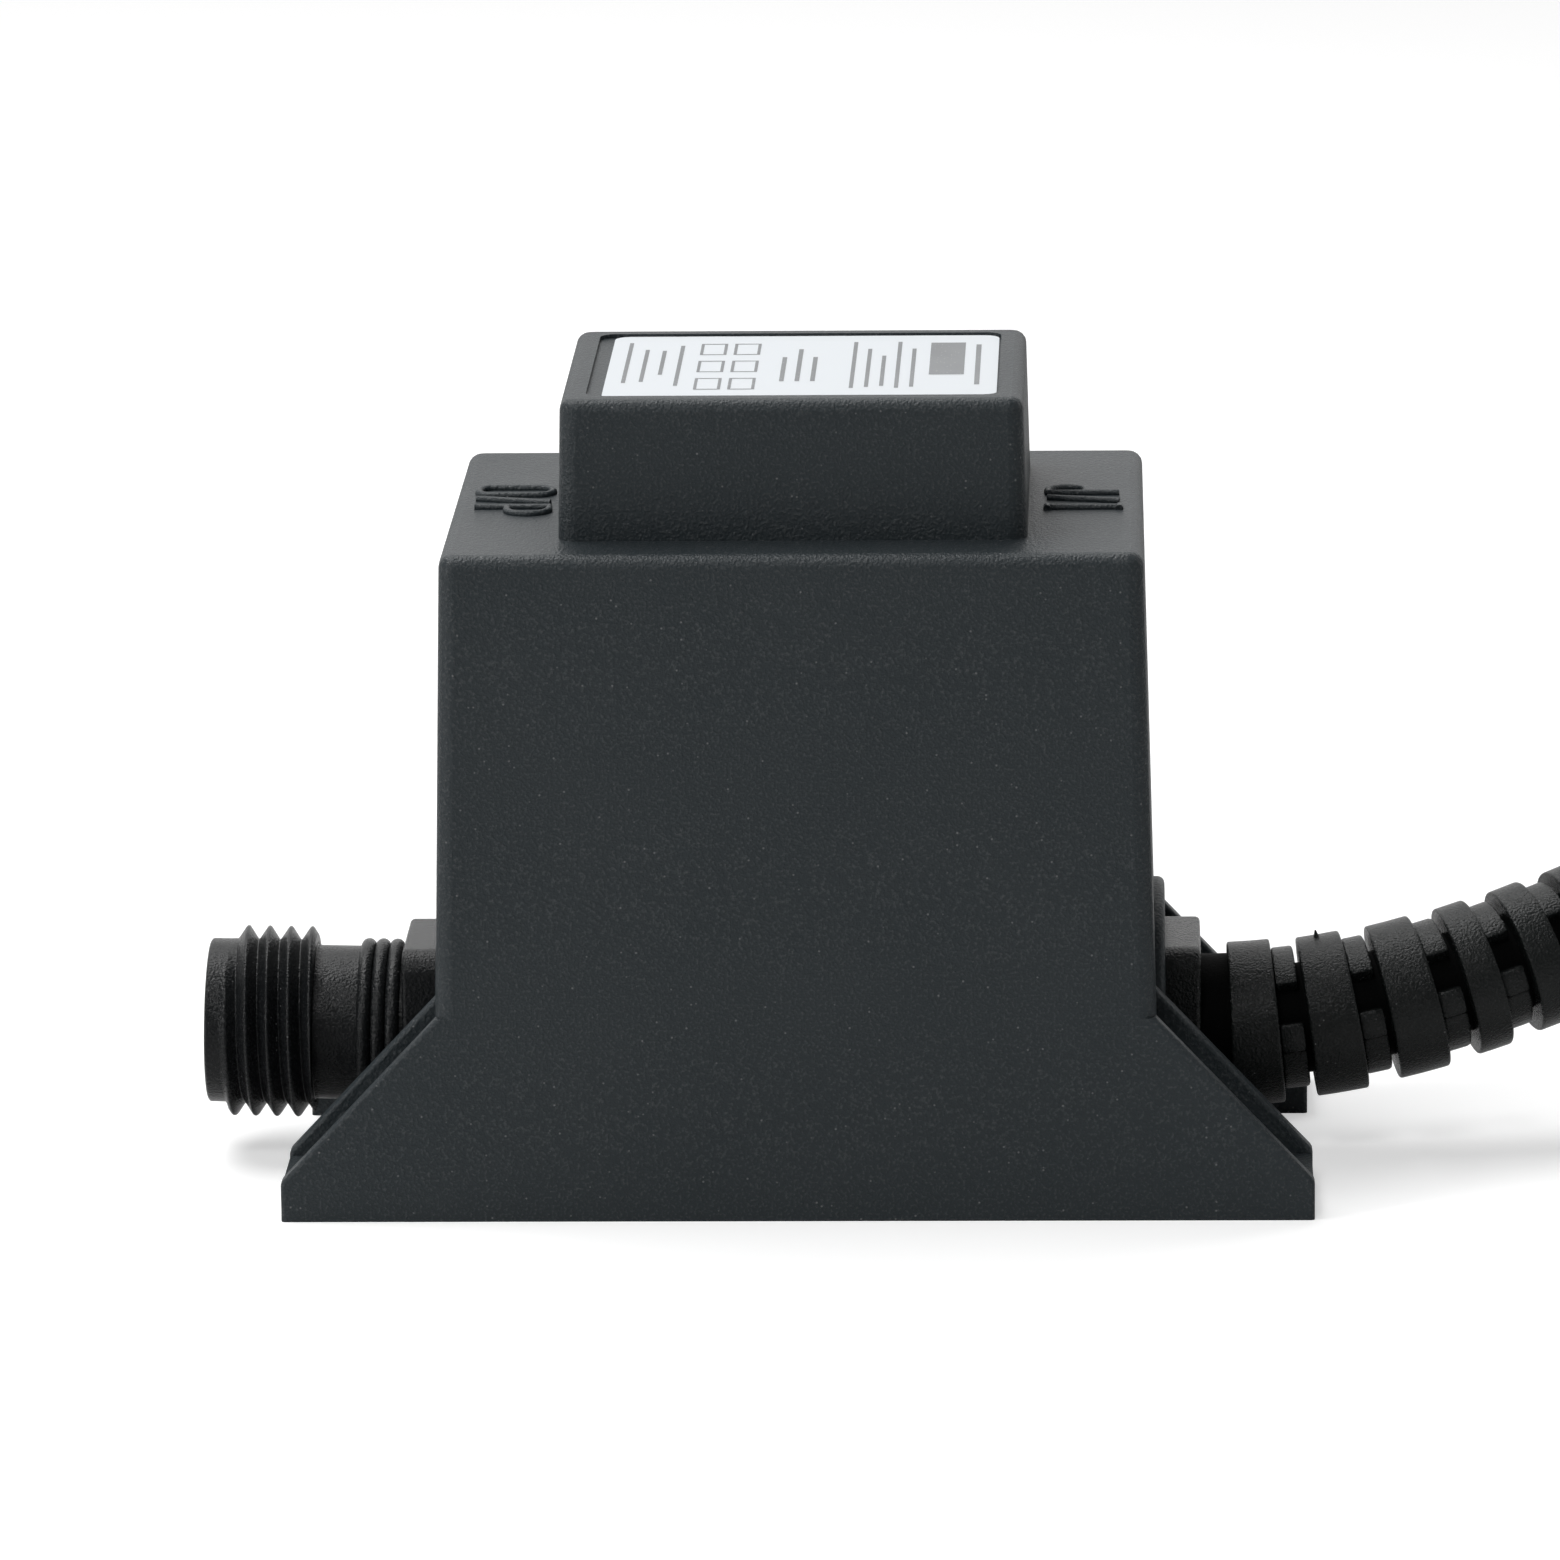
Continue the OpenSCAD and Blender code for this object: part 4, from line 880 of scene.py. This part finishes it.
buckle = flat_block(138.5, 141.2, 15.0, 24.5, 8.4, 0.7, 3)
tongue = flat_block(139.7, 140.6, 6.5, 26.5, 5.6, 0.25, 2)
strap = joined([strap, buckle, tongue])
smooth(strap, 35)
tie_skin = moulded(
    "tie plastic", colour=(0.01, 0.01, 0.0105), pale=(0.2, 0.2, 0.2), rough=0.4,
    relief=0.000006, gloss=0.4, cloud=0.06, specks=0.3, speck_density=0.04,
    grains_per_metre=2500.0, roughness_change=0.12,
)
dress(strap, "coil_strap", tie_skin, "coil_tie")

# Plug: a flat two-pin plug moulded onto the lead, with a grip that narrows towards the
# lead and a ribbed bend relief. Each pin is sleeved over its root half.
plug_y, plug_z = 60, 37.1


def loft(sections, sides=64):
    # A section is its place, width, thickness and the power of its outline: 2 is an
    # ellipse, and more is squarer
    points = []
    for x, w, t, power in sections:
        for k in range(sides):
            a = 2 * math.pi * k / sides
            c, d = math.cos(a), math.sin(a)
            points.append((
                x,
                plug_y + w / 2 * math.copysign(abs(c) ** (2 / power), c),
                plug_z + t / 2 * math.copysign(abs(d) ** (2 / power), d),
            ))
    return solid_from(points, skin_over(len(sections), sides) + lids(len(sections), sides))


grip = [
    (144, 32.6, 10.6, 3.2), (144.1, 33.6, 11.9, 3.2), (144.5, 34.6, 13.0, 3.2),
    (145.2, 35.1, 13.5, 3.2), (147, 35.3, 13.7, 3.2), (158, 35.3, 13.7, 3.2),
    (162, 34.6, 13.7, 3.0), (166, 32.4, 13.6, 2.8), (170, 29.2, 13.4, 2.6),
    (174, 25.8, 13.2, 2.5), (177, 23.2, 12.9, 2.4), (179, 20.6, 12.6, 2.3),
    (179.8, 17.4, 12.3, 2.2), (180.2, 13.0, 12.0, 2.0),
]
rib_count, first_rib_x, plug_rib_step, rib_d, rib_shrink = 6, 181.4, 3.1, 12.0, 0.5
pieces = [loft(grip), loft([(179.5, 11.0, 11.0, 2), (200, 8.0, 8.0, 2)], 48)]
for k in range(rib_count):
    x, d = first_rib_x + plug_rib_step * k, rib_d - rib_shrink * k
    rib = [(x, d - 0.5), (x + 0.25, d), (x + 1.75, d - 0.1), (x + 2.0, d - 0.6)]
    pieces.append(loft([(at, wide, wide, 2) for at, wide in rib], 48))
plug = joined(pieces)
smooth(plug, 35)
plug_skin = moulded(
    "plug rubber", colour=(0.007, 0.007, 0.0075), pale=(0.18, 0.18, 0.18), rough=0.45,
    relief=0.000012, gloss=0.35, cloud=0.06, specks=0.35, speck_density=0.05,
    grains_per_metre=2200.0, roughness_change=0.14,
)
dress(plug, "mains_plug", plug_skin, "plug_body")

# Pieces that keep their solids: the plug's pins and sleeves, and all that the closed
# housing hides, from the core and its windings to the wires. The potting shows from below.
looks = {
    "potting_compound": moulded(
        "potting resin", colour=(0.03, 0.03, 0.032), pale=(0.12, 0.12, 0.12), rough=0.35,
        relief=0.00002, gloss=0.4, cloud=0.2, specks=0.5, speck_density=0.05, grains_per_metre=900.0,
    ),
    "mains_lead_inner": sheath,
    "socket_insert": satin,
    "output_wires": satin,
    "plug_sleeves": plug_skin,
}
for node, finish, colour, pale, rough, relief, cloud in (
    ("e_laminations", "core steel", (0.12, 0.12, 0.125), (0.4, 0.4, 0.4), 0.4, 0.00002, 0.3),
    ("primary_winding", "enamelled wire", (0.42, 0.14, 0.05), (0.7, 0.4, 0.2), 0.3, 0.00004, 0.3),
    ("bobbin", "bobbin plastic", (0.6, 0.58, 0.5), (0.7, 0.7, 0.66), 0.5, 0.00001, 0.3),
    ("winding_tape", "winding tape", (0.6, 0.38, 0.04), (0.8, 0.7, 0.3), 0.3, 0.00001, 0.3),
    ("terminal_pins", "tinned metal", (0.5, 0.5, 0.51), (0.7, 0.7, 0.7), 0.3, 0.00001, 0.4),
    ("output_contacts", "brass", (0.6, 0.42, 0.16), (0.7, 0.6, 0.4), 0.25, 0.000005, 0.4),
    ("live_wire", "brown wire", (0.12, 0.045, 0.02), (0.3, 0.2, 0.15), 0.35, 0.000005, 0.2),
    ("neutral_wire", "blue wire", (0.02, 0.09, 0.33), (0.2, 0.3, 0.5), 0.35, 0.000005, 0.2),
    ("thermal_fuse", "fuse ceramic", (0.62, 0.56, 0.45), (0.7, 0.7, 0.65), 0.6, 0.00002, 0.3),
    ("plug_pins", "nickel plate", (0.58, 0.55, 0.46), (0.75, 0.73, 0.68), 0.22, 0.000004, 0.4),
):
    looks[node] = moulded(finish, colour, pale, rough, relief, gloss=0.5, cloud=cloud)
looks["i_laminations"] = looks["e_laminations"]
looks["secondary_winding"] = looks["primary_winding"]
looks["crimp_sleeve"] = looks["terminal_pins"]
looks["retaining_rings"] = looks["terminal_pins"]
for metal in ("e_laminations", "terminal_pins", "output_contacts", "plug_pins"):
    looks[metal].node_tree.nodes["Principled BSDF"].inputs["Metallic"].default_value = 1.0
for node, finish in looks.items():
    nodes[node].data.materials.clear()
    nodes[node].data.materials.append(finish)
